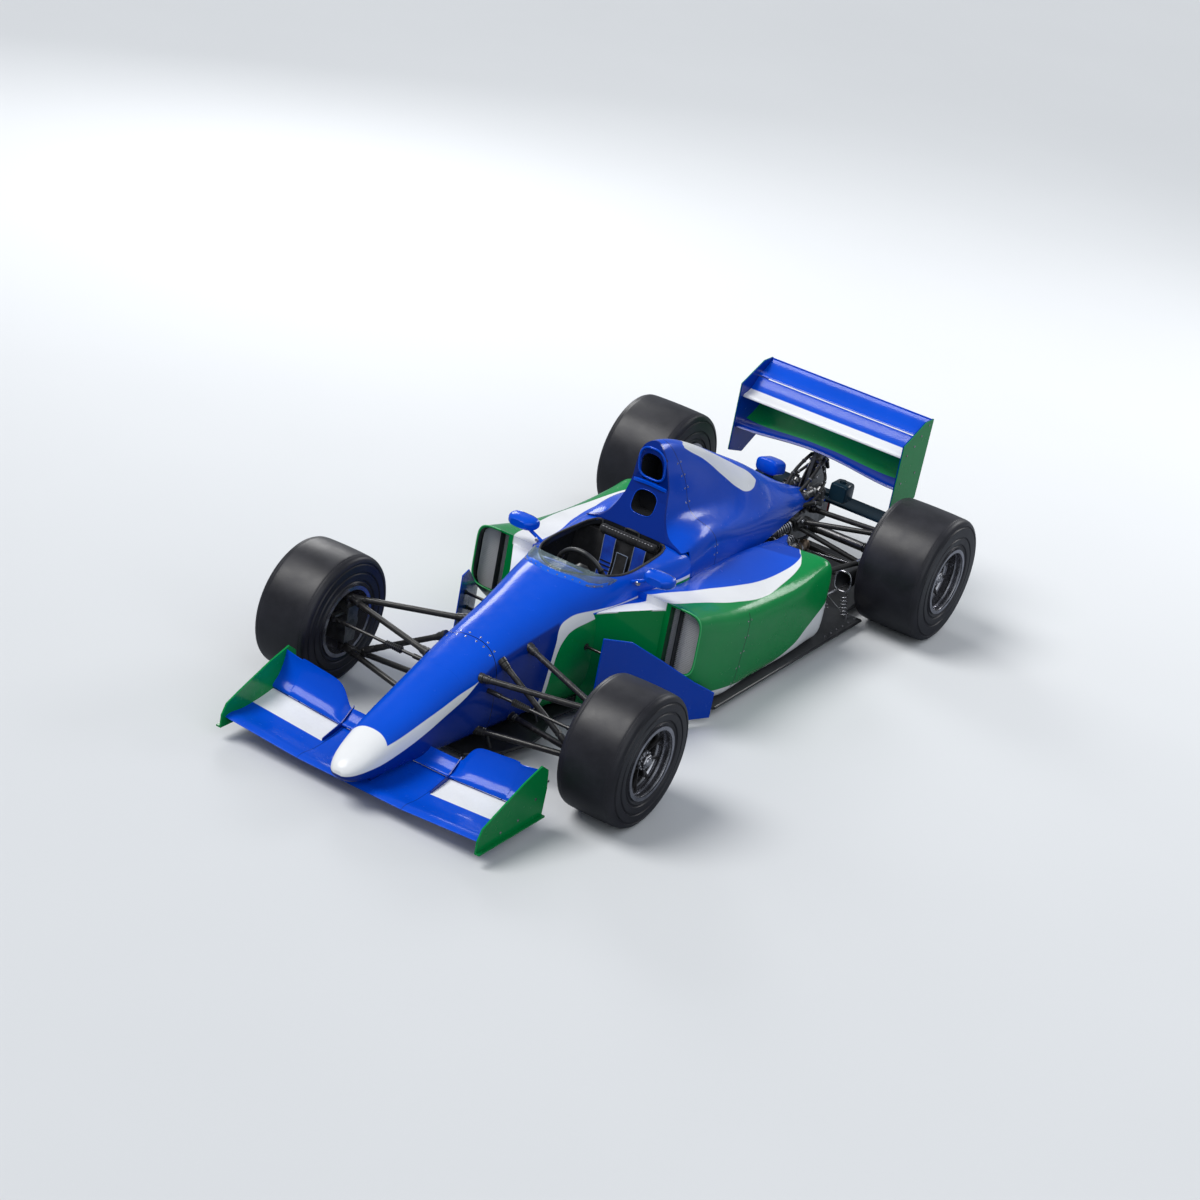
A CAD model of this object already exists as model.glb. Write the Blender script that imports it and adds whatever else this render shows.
import math

import bmesh
import bpy
import numpy as np
from mathutils import Matrix, Vector
from mathutils.bvhtree import BVHTree


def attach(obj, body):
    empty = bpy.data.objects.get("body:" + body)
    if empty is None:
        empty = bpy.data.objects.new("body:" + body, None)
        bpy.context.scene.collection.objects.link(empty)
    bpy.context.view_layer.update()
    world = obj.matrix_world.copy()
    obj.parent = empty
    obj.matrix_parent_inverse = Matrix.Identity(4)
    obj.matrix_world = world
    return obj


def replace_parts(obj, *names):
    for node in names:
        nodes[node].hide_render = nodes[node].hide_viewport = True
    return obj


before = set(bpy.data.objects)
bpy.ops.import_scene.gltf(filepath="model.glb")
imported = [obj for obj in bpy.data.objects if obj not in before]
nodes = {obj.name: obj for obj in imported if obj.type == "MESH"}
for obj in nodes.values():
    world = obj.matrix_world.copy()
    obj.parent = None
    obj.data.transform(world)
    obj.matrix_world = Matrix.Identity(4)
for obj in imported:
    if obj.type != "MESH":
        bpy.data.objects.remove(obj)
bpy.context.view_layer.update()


# Node graphs

class Finish:
    """One material's node graph. Patterns read the car's own frame in metres."""

    def __init__(self, name, rough=0.35, metal=0.0, coat=0.0, coat_rough=0.05, specular=0.5):
        self.material = bpy.data.materials.new(name)
        self.material.use_nodes = True
        self.tree = self.material.node_tree
        self.tree.nodes.clear()
        output = self.add("ShaderNodeOutputMaterial")
        self.shader = self.add("ShaderNodeBsdfPrincipled")
        self.join(self.shader.outputs[0], output.inputs[0])
        self.shader.inputs["Metallic"].default_value = metal
        self.shader.inputs["Roughness"].default_value = rough
        self.shader.inputs["Coat Weight"].default_value = coat
        self.shader.inputs["Coat Roughness"].default_value = coat_rough
        self.shader.inputs["Specular IOR Level"].default_value = specular
        coordinates = self.add("ShaderNodeTexCoord")
        self.place = coordinates.outputs["Object"]
        split = self.add("ShaderNodeSeparateXYZ")
        self.join(self.place, split.inputs[0])
        self.x, self.y, self.z = split.outputs[0], split.outputs[1], split.outputs[2]
        self.across = self.math("ABSOLUTE", self.x)
        facing = self.add("ShaderNodeSeparateXYZ")
        self.join(coordinates.outputs["Normal"], facing.inputs[0])
        self.face_x, self.face_y, self.face_z = facing.outputs[0], facing.outputs[1], facing.outputs[2]

    def add(self, kind):
        return self.tree.nodes.new(kind)

    def join(self, source, target):
        self.tree.links.new(source, target)

    def feed(self, value, target):
        """Link a socket, or set a number or colour."""
        if isinstance(value, bpy.types.NodeSocket):
            self.join(value, target)
        elif isinstance(value, tuple) and len(value) == 3 and target.type == "RGBA":
            target.default_value = (*value, 1.0)
        else:
            target.default_value = value

    def math(self, operation, first, second=None, third=None):
        node = self.add("ShaderNodeMath")
        node.operation = operation
        for index, value in enumerate((first, second, third)):
            if value is not None:
                self.feed(value, node.inputs[index])
        return node.outputs[0]

    def ramp(self, value, low, high, out_low=0.0, out_high=1.0):
        """Straight rise from out_low to out_high while value goes from low to high."""
        node = self.add("ShaderNodeMapRange")
        for index, item in enumerate((value, low, high, out_low, out_high)):
            self.feed(item, node.inputs[index])
        return node.outputs[0]

    def over(self, value, edge, soft=0.0016):
        """1 where value is over edge, else 0, with a soft width between."""
        return self.ramp(self.math("SUBTRACT", value, edge), -soft, soft)

    def inside(self, value, low, high, soft=0.0016):
        """1 where value lies between low and high."""
        return self.math("MULTIPLY", self.over(value, low, soft), self.opposite(self.over(value, high, soft)))

    def curve(self, value, points, smooth=True):
        """Height of a curve through the points (place, height) at value."""
        places = [point[0] for point in points]
        heights = [point[1] for point in points]
        low, high = min(heights), max(heights)
        span = max(high - low, 1e-6)
        node = self.add("ShaderNodeFloatCurve")
        line = node.mapping.curves[0]
        while len(line.points) < len(points):
            line.points.new(0.5, 0.5)
        for spot, (place, height) in zip(line.points, points):
            spot.location = ((place - places[0]) / (places[-1] - places[0]), (height - low) / span)
            spot.handle_type = "AUTO_CLAMPED" if smooth else "VECTOR"
        node.mapping.update()
        self.join(self.ramp(value, places[0], places[-1]), node.inputs[1])
        return self.math("MULTIPLY_ADD", node.outputs[0], span, low)

    def opposite(self, value):
        return self.math("SUBTRACT", 1.0, value)

    def all_of(self, *masks):
        whole = masks[0]
        for mask in masks[1:]:
            whole = self.math("MULTIPLY", whole, mask)
        return whole

    def inner_side(self, middle_x, middle_z):
        """1 on walls that face a line along the car at middle_x, on either side, and middle_z."""
        sign = self.math("SIGN", self.x)
        away_x = self.math("SUBTRACT", self.across, middle_x)
        away_z = self.math("SUBTRACT", self.z, middle_z)
        facing_x = self.math("MULTIPLY", self.math("MULTIPLY", self.face_x, sign), away_x)
        outward = self.math("MULTIPLY_ADD", self.face_z, away_z, facing_x)
        return self.opposite(self.ramp(outward, -0.004, -0.002))

    def mix(self, factor, first, second):
        node = self.add("ShaderNodeMix")
        node.data_type = "RGBA"
        self.feed(factor, node.inputs[0])
        self.feed(first, node.inputs[6])
        self.feed(second, node.inputs[7])
        return node.outputs[2]

    def noise(self, scale, detail=3.0, rough=0.5):
        node = self.add("ShaderNodeTexNoise")
        self.join(self.place, node.inputs["Vector"])
        node.inputs["Scale"].default_value = scale
        node.inputs["Detail"].default_value = detail
        node.inputs["Roughness"].default_value = rough
        return node.outputs["Fac"]

    def waves(self, value, length):
        """Sine of value, with one wave to each length."""
        return self.math("SINE", self.math("MULTIPLY", value, 2 * math.pi / length))

    def lifted(self, value):
        """Value from -1 to 1 brought to 0 to 1."""
        return self.math("MULTIPLY_ADD", value, 0.5, 0.5)

    def crossed(self, first, second, length):
        """Squares where the waves of two values cross, from 0 to 1."""
        return self.lifted(self.math("MULTIPLY", self.waves(first, length), self.waves(second, length)))

    def weave(self, size):
        """Twill of square tows: two crossed sets of sine bands, each on top in turn."""
        return self.crossed(self.math("ADD", self.x, self.z), self.math("ADD", self.y, self.z), size)

    def bump(self, height, distance, strength=1.0):
        node = self.add("ShaderNodeBump")
        node.inputs["Strength"].default_value = strength
        node.inputs["Distance"].default_value = distance
        self.join(height, node.inputs["Height"])
        self.join(node.outputs[0], self.shader.inputs["Normal"])

    def colour(self, value):
        self.feed(value, self.shader.inputs["Base Color"])

    def rough(self, value):
        self.feed(value, self.shader.inputs["Roughness"])


ROYAL_BLUE = (0.0, 0.078, 0.66)
NAVY = (0.0, 0.024, 0.26)
DEEP_BLUE = (0.0, 0.052, 0.47)
RACING_GREEN = (0.0, 0.25, 0.055)
WHITE = (0.87, 0.88, 0.895)
SEAM = (0.004, 0.006, 0.012)
CARBON = (0.018, 0.019, 0.021)

# Heights between which the road dust thins out
DUST_LOW, DUST_HIGH = 0.05, 0.30

# Edge of the nose's white cap: distance from the middle, then place along the car
NOSE_CAP = [(0.0, -1.953), (0.05, -1.956), (0.12, -1.975)]
# Edges of the livery: place along the car, then height.
# In POD_BLUE and POD_GREEN the second number is the distance from the middle.
STRIPE_TOP = [(-2.18, 0.225), (-1.949, 0.275), (-1.75, 0.328), (-1.64, 0.357), (-1.521, 0.391),
    (-1.399, 0.421), (-1.355, 0.442)]
STRIPE_LOW = [(-2.18, 0.165), (-2.093, 0.182), (-1.996, 0.198), (-1.884, 0.226), (-1.753, 0.267),
    (-1.621, 0.318), (-1.494, 0.368), (-1.399, 0.420), (-1.355, 0.442), (-1.249, 0.478), (-1.05, 0.520),
    (-0.90, 0.548), (-0.848, 0.56)]
TUB_BLUE = [(-0.95, 0.0), (-0.932, 0.20), (-0.908, 0.36), (-0.882, 0.47), (-0.848, 0.545), (-0.80, 0.567),
    (-0.727, 0.578), (-0.6, 0.572), (-0.478, 0.566), (-0.2, 0.575), (0.12, 0.575)]
TUB_GREEN = [(-0.93, 0.0), (-0.905, 0.20), (-0.88, 0.36), (-0.853, 0.445), (-0.82, 0.483), (-0.783, 0.506),
    (-0.668, 0.526), (-0.523, 0.541), (-0.419, 0.557), (-0.2, 0.56), (0.12, 0.56)]
POD_BLUE = [(-0.60, 0.25), (-0.478, 0.27), (-0.316, 0.328), (-0.174, 0.356), (0.057, 0.405), (0.299, 0.470),
    (0.544, 0.509), (0.75, 0.513), (0.905, 0.497), (0.97, 0.46), (1.05, 0.42), (1.30, 0.36)]
POD_GREEN = [(-0.60, 0.29), (-0.523, 0.306), (-0.419, 0.362), (-0.315, 0.440), (-0.245, 0.468),
    (-0.045, 0.509), (0.147, 0.562), (0.405, 0.594), (0.569, 0.580), (0.808, 0.546), (0.905, 0.507),
    (0.97, 0.465), (1.05, 0.425), (1.30, 0.365)]
POD_WEDGE = [(-0.25, 0.16), (-0.165, 0.150), (0.057, 0.118), (0.20, 0.096), (0.31, 0.087), (0.45, 0.089),
    (0.678, 0.124), (0.834, 0.190), (0.959, 0.246), (1.06, 0.30)]
DROP_TOP = [(0.30, 1.10), (0.40, 1.088), (0.527, 1.024), (0.725, 0.928), (0.918, 0.832), (1.05, 0.762),
    (1.095, 0.722)]
DROP_LOW = [(0.30, 1.09), (0.354, 1.059), (0.512, 0.977), (0.713, 0.843), (0.85, 0.752), (0.93, 0.715),
    (1.02, 0.704), (1.095, 0.718)]
# Front face of the cover and its panel line: height, then place along the car
FACE_LINE = [(0.60, 0.038), (0.69, 0.037), (0.861, 0.1044), (0.928, 0.1204), (1.121, 0.087), (1.16, 0.100),
    (1.22, 0.16)]
COVER_PANEL = [(0.45, 0.385), (0.605, 0.367), (0.684, 0.354), (0.72, 0.339), (0.751, 0.317), (0.784, 0.301),
    (0.902, 0.295), (1.005, 0.246), (1.097, 0.189), (1.146, 0.164)]

# Places along the car where the tub's livery changes
STRIPE_END = -1.355
BULKHEAD_SEAM = -1.258
WAVE_START = -0.949


def worn(finish, colour):
    """Paint with fine uneven gloss, faint mottling, and road dust that thins out upwards."""
    mottle = finish.noise(3.0, 4.0)
    shaded = finish.mix(finish.ramp(mottle, 0.35, 0.75, 0.0, 0.10), colour, (0.0, 0.01, 0.05))
    grit = finish.noise(60.0, 5.0, 0.7)
    near_ground = finish.ramp(finish.z, DUST_LOW, DUST_HIGH, 0.06, 0.0)
    dusty = finish.math("MULTIPLY", near_ground, finish.ramp(grit, 0.42, 0.75))
    finish.colour(finish.mix(dusty, shaded, (0.10, 0.09, 0.075)))
    finish.rough(finish.math("ADD", finish.ramp(finish.noise(25.0, 4.0), 0.3, 0.8, 0.16, 0.30), dusty))
    finish.bump(finish.noise(9.0, 2.0), 0.0006, 0.35)


def gloss(name):
    return Finish(name, rough=0.30, coat=0.16, coat_rough=0.06, specular=0.16)


def seam_line(finish, colour, value, place, half=0.0014):
    """Dark panel line where value crosses place."""
    return finish.mix(finish.inside(value, place - half, place + half, 0.0004), colour, SEAM)


def nose_finish():
    """White cap, blue top, white stripe along the side and navy below it."""
    finish = gloss("nose_paint")
    top = finish.curve(finish.y, STRIPE_TOP)
    low = finish.curve(finish.y, STRIPE_LOW)
    cap_edge = finish.curve(finish.across, NOSE_CAP)
    colour = finish.mix(finish.over(finish.z, low), NAVY, WHITE)
    colour = finish.mix(finish.over(finish.z, top), colour, ROYAL_BLUE)
    in_cap = finish.opposite(finish.over(finish.y, cap_edge))
    above = finish.over(finish.z, low)
    colour = finish.mix(finish.math("MULTIPLY", in_cap, above), colour, WHITE)
    worn(finish, colour)
    return finish.material


def tub_finish():
    """Blue tub, navy below the stripe's line, and the white and green waves that lead into the sidepods."""
    finish = gloss("tub_paint")
    stripe_top = finish.curve(finish.y, STRIPE_TOP)
    navy_top = finish.curve(finish.y, STRIPE_LOW)
    blue_low = finish.curve(finish.y, TUB_BLUE)
    green_top = finish.curve(finish.y, TUB_GREEN)
    colour = finish.mix(finish.over(finish.z, navy_top), NAVY, WHITE)
    ahead = finish.mix(finish.over(finish.z, stripe_top), colour, ROYAL_BLUE)
    plain = finish.mix(finish.over(finish.z, navy_top, 0.006), NAVY, ROYAL_BLUE)
    ahead = finish.mix(finish.over(finish.y, STRIPE_END), ahead, plain)
    wave = finish.mix(finish.over(finish.z, green_top), RACING_GREEN, WHITE)
    over_wave = finish.mix(finish.over(finish.y, WAVE_START + 0.1, 0.01), ahead, ROYAL_BLUE)
    rear = finish.mix(finish.over(finish.z, blue_low), wave, over_wave)
    colour = finish.mix(finish.over(finish.y, WAVE_START), ahead, rear)
    curve_line = finish.math("MULTIPLY_ADD", finish.across, finish.across, finish.y)
    colour = seam_line(finish, colour, curve_line, BULKHEAD_SEAM, 0.002)
    cavity = finish.all_of(finish.inside(finish.y, -0.66, 0.09), finish.inner_side(0.0, 0.40))
    colour = finish.mix(cavity, colour, CARBON)
    dash = finish.all_of(finish.inside(finish.y, -0.60, -0.545), finish.over(finish.face_y, 0.6, 0.05))
    colour = finish.mix(dash, colour, CARBON)
    near_middle = finish.opposite(finish.over(finish.across, 0.185))
    deck = finish.all_of(finish.inside(finish.y, 0.008, 0.30), finish.over(finish.z, 0.60), near_middle)
    colour = finish.mix(deck, colour, CARBON)
    worn(finish, colour)
    return finish.material


def pod_finish():
    """Green pod with a white wave and a blue inner half on top, and a white wedge low on its side."""
    finish = gloss("pod_paint")
    blue_edge = finish.curve(finish.y, POD_BLUE)
    green_edge = finish.curve(finish.y, POD_GREEN)
    wedge = finish.curve(finish.y, POD_WEDGE)
    dimple = finish.over(finish.math("MULTIPLY_ADD", finish.across, -0.45, finish.y), 0.68, 0.012)
    lobe = finish.mix(dimple, ROYAL_BLUE, DEEP_BLUE)
    colour = finish.mix(finish.over(finish.across, blue_edge), lobe, WHITE)
    colour = finish.mix(finish.over(finish.across, green_edge), colour, RACING_GREEN)
    low_side = finish.opposite(finish.over(finish.z, wedge))
    colour = finish.mix(finish.all_of(low_side, finish.over(finish.y, -0.22)), colour, WHITE)
    ahead = finish.opposite(finish.over(finish.y, -0.262))
    on_top = finish.over(finish.face_z, 0.6, 0.05)
    under_shoulder = finish.opposite(finish.over(finish.z, 0.575))
    inboard = finish.opposite(finish.over(finish.across, 0.468))
    wedge_top = finish.all_of(ahead, on_top, under_shoulder, inboard)
    colour = finish.mix(wedge_top, colour, finish.mix(finish.over(finish.across, blue_edge), ROYAL_BLUE,
        WHITE))
    below = finish.opposite(finish.over(finish.z, 0.556))
    colour = finish.mix(finish.all_of(ahead, finish.opposite(on_top), below), colour, RACING_GREEN)
    side_line = finish.math("MULTIPLY_ADD", finish.z, -0.16, finish.y)
    panel = finish.inside(side_line, 0.099, 0.1035, 0.0006)
    colour = finish.mix(finish.all_of(panel, finish.over(finish.across, 0.600), finish.opposite(on_top)),
        colour, SEAM)
    sill = finish.curve(finish.y, [(-0.3146, 0.277), (-0.236, 0.2007), (-0.12, 0.1134), (0.011, 0.0594),
        (0.13, 0.0594)])
    walls = finish.all_of(finish.inside(finish.across, 0.4645, 0.6445), finish.inner_side(0.556, 0.35))
    splitter = finish.math("MULTIPLY", finish.inside(finish.across, 0.5095, 0.5195), finish.opposite(on_top))
    lining = finish.math("MAXIMUM", walls, splitter)
    duct = finish.all_of(lining, finish.inside(finish.z, sill, 0.594), finish.inside(finish.y, -0.316, 0.135))
    colour = finish.mix(duct, colour, CARBON)
    worn(finish, colour)
    return finish.material


def cover_finish():
    """Blue cover with a white drop on each flank of its spine and a navy front face."""
    finish = gloss("cover_paint")
    top = finish.curve(finish.y, DROP_TOP)
    low = finish.curve(finish.y, DROP_LOW)
    drop = finish.math("MULTIPLY", finish.inside(finish.z, low, top), finish.inside(finish.y, 0.31, 1.094))
    sideways = finish.math("ABSOLUTE", finish.face_x)
    flank = finish.mix(finish.ramp(sideways, 0.66, 0.84, 0.0, 0.75), ROYAL_BLUE, DEEP_BLUE)
    colour = finish.mix(drop, flank, WHITE)
    face_place = finish.curve(finish.z, FACE_LINE, False)
    face = finish.opposite(finish.over(finish.y, finish.math("ADD", face_place, 0.012)))
    colour = finish.mix(face, colour, NAVY)
    from_line = finish.math("SUBTRACT", finish.y, finish.curve(finish.z, COVER_PANEL))
    colour = finish.mix(finish.inside(from_line, -0.002, 0.002, 0.0006), colour, SEAM)
    behind_face = finish.over(finish.y, finish.math("ADD", face_place, 0.004), 0.001)
    for half_width, middle, half_height, fall in ((0.0760, 1.037, 0.0860, 0.39),
            (0.0700, 0.835, 0.0610, 0.0)):
        sunk = finish.math("MULTIPLY_ADD", finish.math("SUBTRACT", finish.y, 0.04), fall,
            finish.math("SUBTRACT", finish.z, middle))
        wide = finish.math("POWER", finish.math("DIVIDE", finish.across, half_width), 6.0)
        tall = finish.math("POWER", finish.math("DIVIDE", finish.math("ABSOLUTE", sunk), half_height), 6.0)
        mouth = finish.opposite(finish.ramp(finish.math("ADD", wide, tall), 0.98, 1.02))
        colour = finish.mix(finish.all_of(mouth, behind_face, finish.inside(finish.y, 0.04, 0.30)), colour,
            CARBON)
    worn(finish, colour)
    return finish.material


def plain_paint(name, colour):
    finish = gloss(name)
    worn(finish, colour)
    return finish.material


def front_plane_finish():
    """Blue plane with a white block on its rear half outboard of the fences."""
    finish = gloss("front_plane_paint")
    block = finish.math("MULTIPLY", finish.inside(finish.y, -1.888, -1.748),
        finish.over(finish.across, 0.300))
    colour = finish.mix(block, ROYAL_BLUE, WHITE)
    colour = seam_line(finish, colour, finish.across, 0.285, 0.001)
    worn(finish, colour)
    return finish.material


def flap_finish():
    """Blue flap with a fold line at the middle of its chord."""
    finish = gloss("front_flap_paint")
    colour = seam_line(finish, ROYAL_BLUE, finish.y, -1.765, 0.0010)
    worn(finish, colour)
    return finish.material


def upper_wing_finish():
    """Blue planes, the front third of the lower one white."""
    finish = gloss("upper_wing_paint")
    colour = finish.mix(finish.over(finish.y, 1.978), WHITE, ROYAL_BLUE)
    worn(finish, colour)
    return finish.material


def lower_wing_finish():
    """Green plane with a navy leading half."""
    finish = gloss("lower_wing_paint")
    edge = finish.curve(finish.across, [(0.0, 1.950), (0.25, 1.965), (0.5, 2.0)])
    colour = finish.mix(finish.over(finish.y, edge), NAVY, RACING_GREEN)
    worn(finish, colour)
    return finish.material


def end_plate_finish(name, outer_edge):
    """Green plates, navy on their inner side."""
    finish = gloss(name)
    colour = finish.mix(finish.over(finish.across, outer_edge, 0.0008), NAVY, RACING_GREEN)
    worn(finish, colour)
    return finish.material


def carbon_finish():
    """Dark composite with a fine twill and a dull lacquer."""
    finish = Finish("carbon", rough=0.4, coat=0.25, coat_rough=0.2)
    tow = finish.weave(0.006)
    scuff = finish.noise(14.0, 5.0, 0.6)
    colour = finish.mix(tow, (0.012, 0.013, 0.015), (0.032, 0.034, 0.038))
    finish.colour(finish.mix(finish.ramp(scuff, 0.55, 0.85, 0.0, 0.4), colour, (0.10, 0.10, 0.10)))
    finish.rough(finish.ramp(scuff, 0.3, 0.8, 0.30, 0.60))
    finish.bump(tow, 0.0003, 0.5)
    return finish.material


def metal_finish(name, colour, rough_low=0.25, rough_high=0.5, dark=0.4):
    """Metal with a fine grain, oily patches and uneven gloss."""
    finish = Finish(name, rough=0.4, metal=0.9)
    grain = finish.noise(180.0, 3.0, 0.6)
    oil = finish.noise(18.0, 4.0, 0.6)
    shade = tuple(channel * dark for channel in colour)
    finish.colour(finish.mix(finish.ramp(oil, 0.4, 0.75), colour, shade))
    finish.rough(finish.ramp(grain, 0.3, 0.8, rough_low, rough_high))
    finish.bump(grain, 0.0002, 0.4)
    return finish.material


def tube_finish():
    """Satin black enamel with rubbed grey patches."""
    finish = Finish("satin_black", rough=0.35, coat=0.3, coat_rough=0.15)
    rub = finish.noise(35.0, 5.0, 0.65)
    finish.colour(finish.mix(finish.ramp(rub, 0.55, 0.8, 0.0, 0.5), (0.014, 0.013, 0.013),
        (0.11, 0.105, 0.10)))
    finish.rough(finish.ramp(rub, 0.3, 0.8, 0.28, 0.5))
    finish.bump(rub, 0.0003, 0.4)
    return finish.material


def rubber_finish():
    """Slick rubber: a fine grain, scuffed shoulders and dust in the sidewall."""
    finish = Finish("slick_rubber", rough=0.55, specular=0.4)
    grain = finish.noise(420.0, 3.0, 0.7)
    patch = finish.noise(8.0, 5.0, 0.6)
    colour = finish.mix(finish.ramp(patch, 0.35, 0.75), (0.009, 0.009, 0.013), (0.019, 0.019, 0.026))
    finish.colour(finish.mix(finish.ramp(grain, 0.55, 0.8, 0.0, 0.4), colour, (0.05, 0.05, 0.055)))
    finish.rough(finish.ramp(patch, 0.3, 0.8, 0.36, 0.52))
    finish.bump(grain, 0.0004, 0.35)
    return finish.material


def rim_finish(name, centre_y, centre_z):
    """Dark cast wheel whose barrel and flanges are bare polished metal."""
    finish = Finish(name, rough=0.3, metal=0.85)
    away_y = finish.math("SUBTRACT", finish.y, centre_y)
    away_z = finish.math("SUBTRACT", finish.z, centre_z)
    squares = finish.math("MULTIPLY_ADD", away_y, away_y, finish.math("MULTIPLY", away_z, away_z))
    radius = finish.math("SQRT", squares)
    bright = finish.over(radius, 0.153, 0.002)
    cast = finish.noise(90.0, 4.0, 0.6)
    dark = finish.mix(finish.ramp(cast, 0.4, 0.8), (0.025, 0.024, 0.023), (0.10, 0.098, 0.095))
    polished = finish.mix(finish.ramp(finish.noise(20.0, 3.0), 0.3, 0.8), (0.42, 0.42, 0.47),
        (0.20, 0.20, 0.23))
    finish.colour(finish.mix(bright, dark, polished))
    finish.rough(finish.mix(bright, finish.ramp(cast, 0.3, 0.8, 0.35, 0.6),
        finish.ramp(cast, 0.3, 0.8, 0.15, 0.3)))
    finish.bump(cast, 0.0003, 0.4)
    return finish.material


def screen_finish():
    """Clear moulded plastic with a faint smoke tint."""
    finish = Finish("clear_screen", rough=0.06, specular=0.6)
    finish.shader.inputs["Transmission Weight"].default_value = 0.82
    finish.shader.inputs["IOR"].default_value = 1.2
    haze = finish.noise(12.0, 4.0)
    finish.colour(finish.mix(finish.ramp(haze, 0.3, 0.8), (0.52, 0.64, 0.68), (0.30, 0.42, 0.46)))
    finish.rough(finish.ramp(haze, 0.3, 0.8, 0.03, 0.12))
    return finish.material


def core_finish():
    """Radiator core: fine upright fins across flat tubes."""
    finish = Finish("radiator_core", rough=0.5, metal=0.2)
    fins = finish.lifted(finish.waves(finish.x, 0.005))
    tubes = finish.lifted(finish.waves(finish.z, 0.014))
    height = finish.math("MAXIMUM", fins, tubes)
    finish.colour(finish.mix(height, (0.06, 0.06, 0.065), (0.62, 0.62, 0.64)))
    finish.bump(height, 0.002, 0.8)
    return finish.material


def cloth_finish(name, dark, light, thread=0.0022):
    """Woven cloth: crossed threads, and soft creases of another tone."""
    finish = Finish(name, rough=0.85, specular=0.3)
    finish.shader.inputs["Sheen Weight"].default_value = 0.12
    cloth = finish.crossed(finish.x, finish.z, thread)
    crease = finish.noise(22.0, 4.0)
    tone = finish.math("MULTIPLY_ADD", cloth, 0.35, finish.ramp(crease, 0.35, 0.75, 0.0, 0.6))
    finish.colour(finish.mix(tone, dark, light))
    finish.bump(cloth, 0.0005, 0.6)
    return finish.material


def lamp_finish():
    """Red moulded lens with small square prisms."""
    finish = Finish("lamp_lens", rough=0.2, coat=0.5)
    prism = finish.crossed(finish.x, finish.z, 0.008)
    finish.colour(finish.mix(prism, (0.18, 0.003, 0.003), (0.55, 0.01, 0.01)))
    finish.bump(prism, 0.001, 0.7)
    return finish.material


# Meshes worked out as arrays

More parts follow.
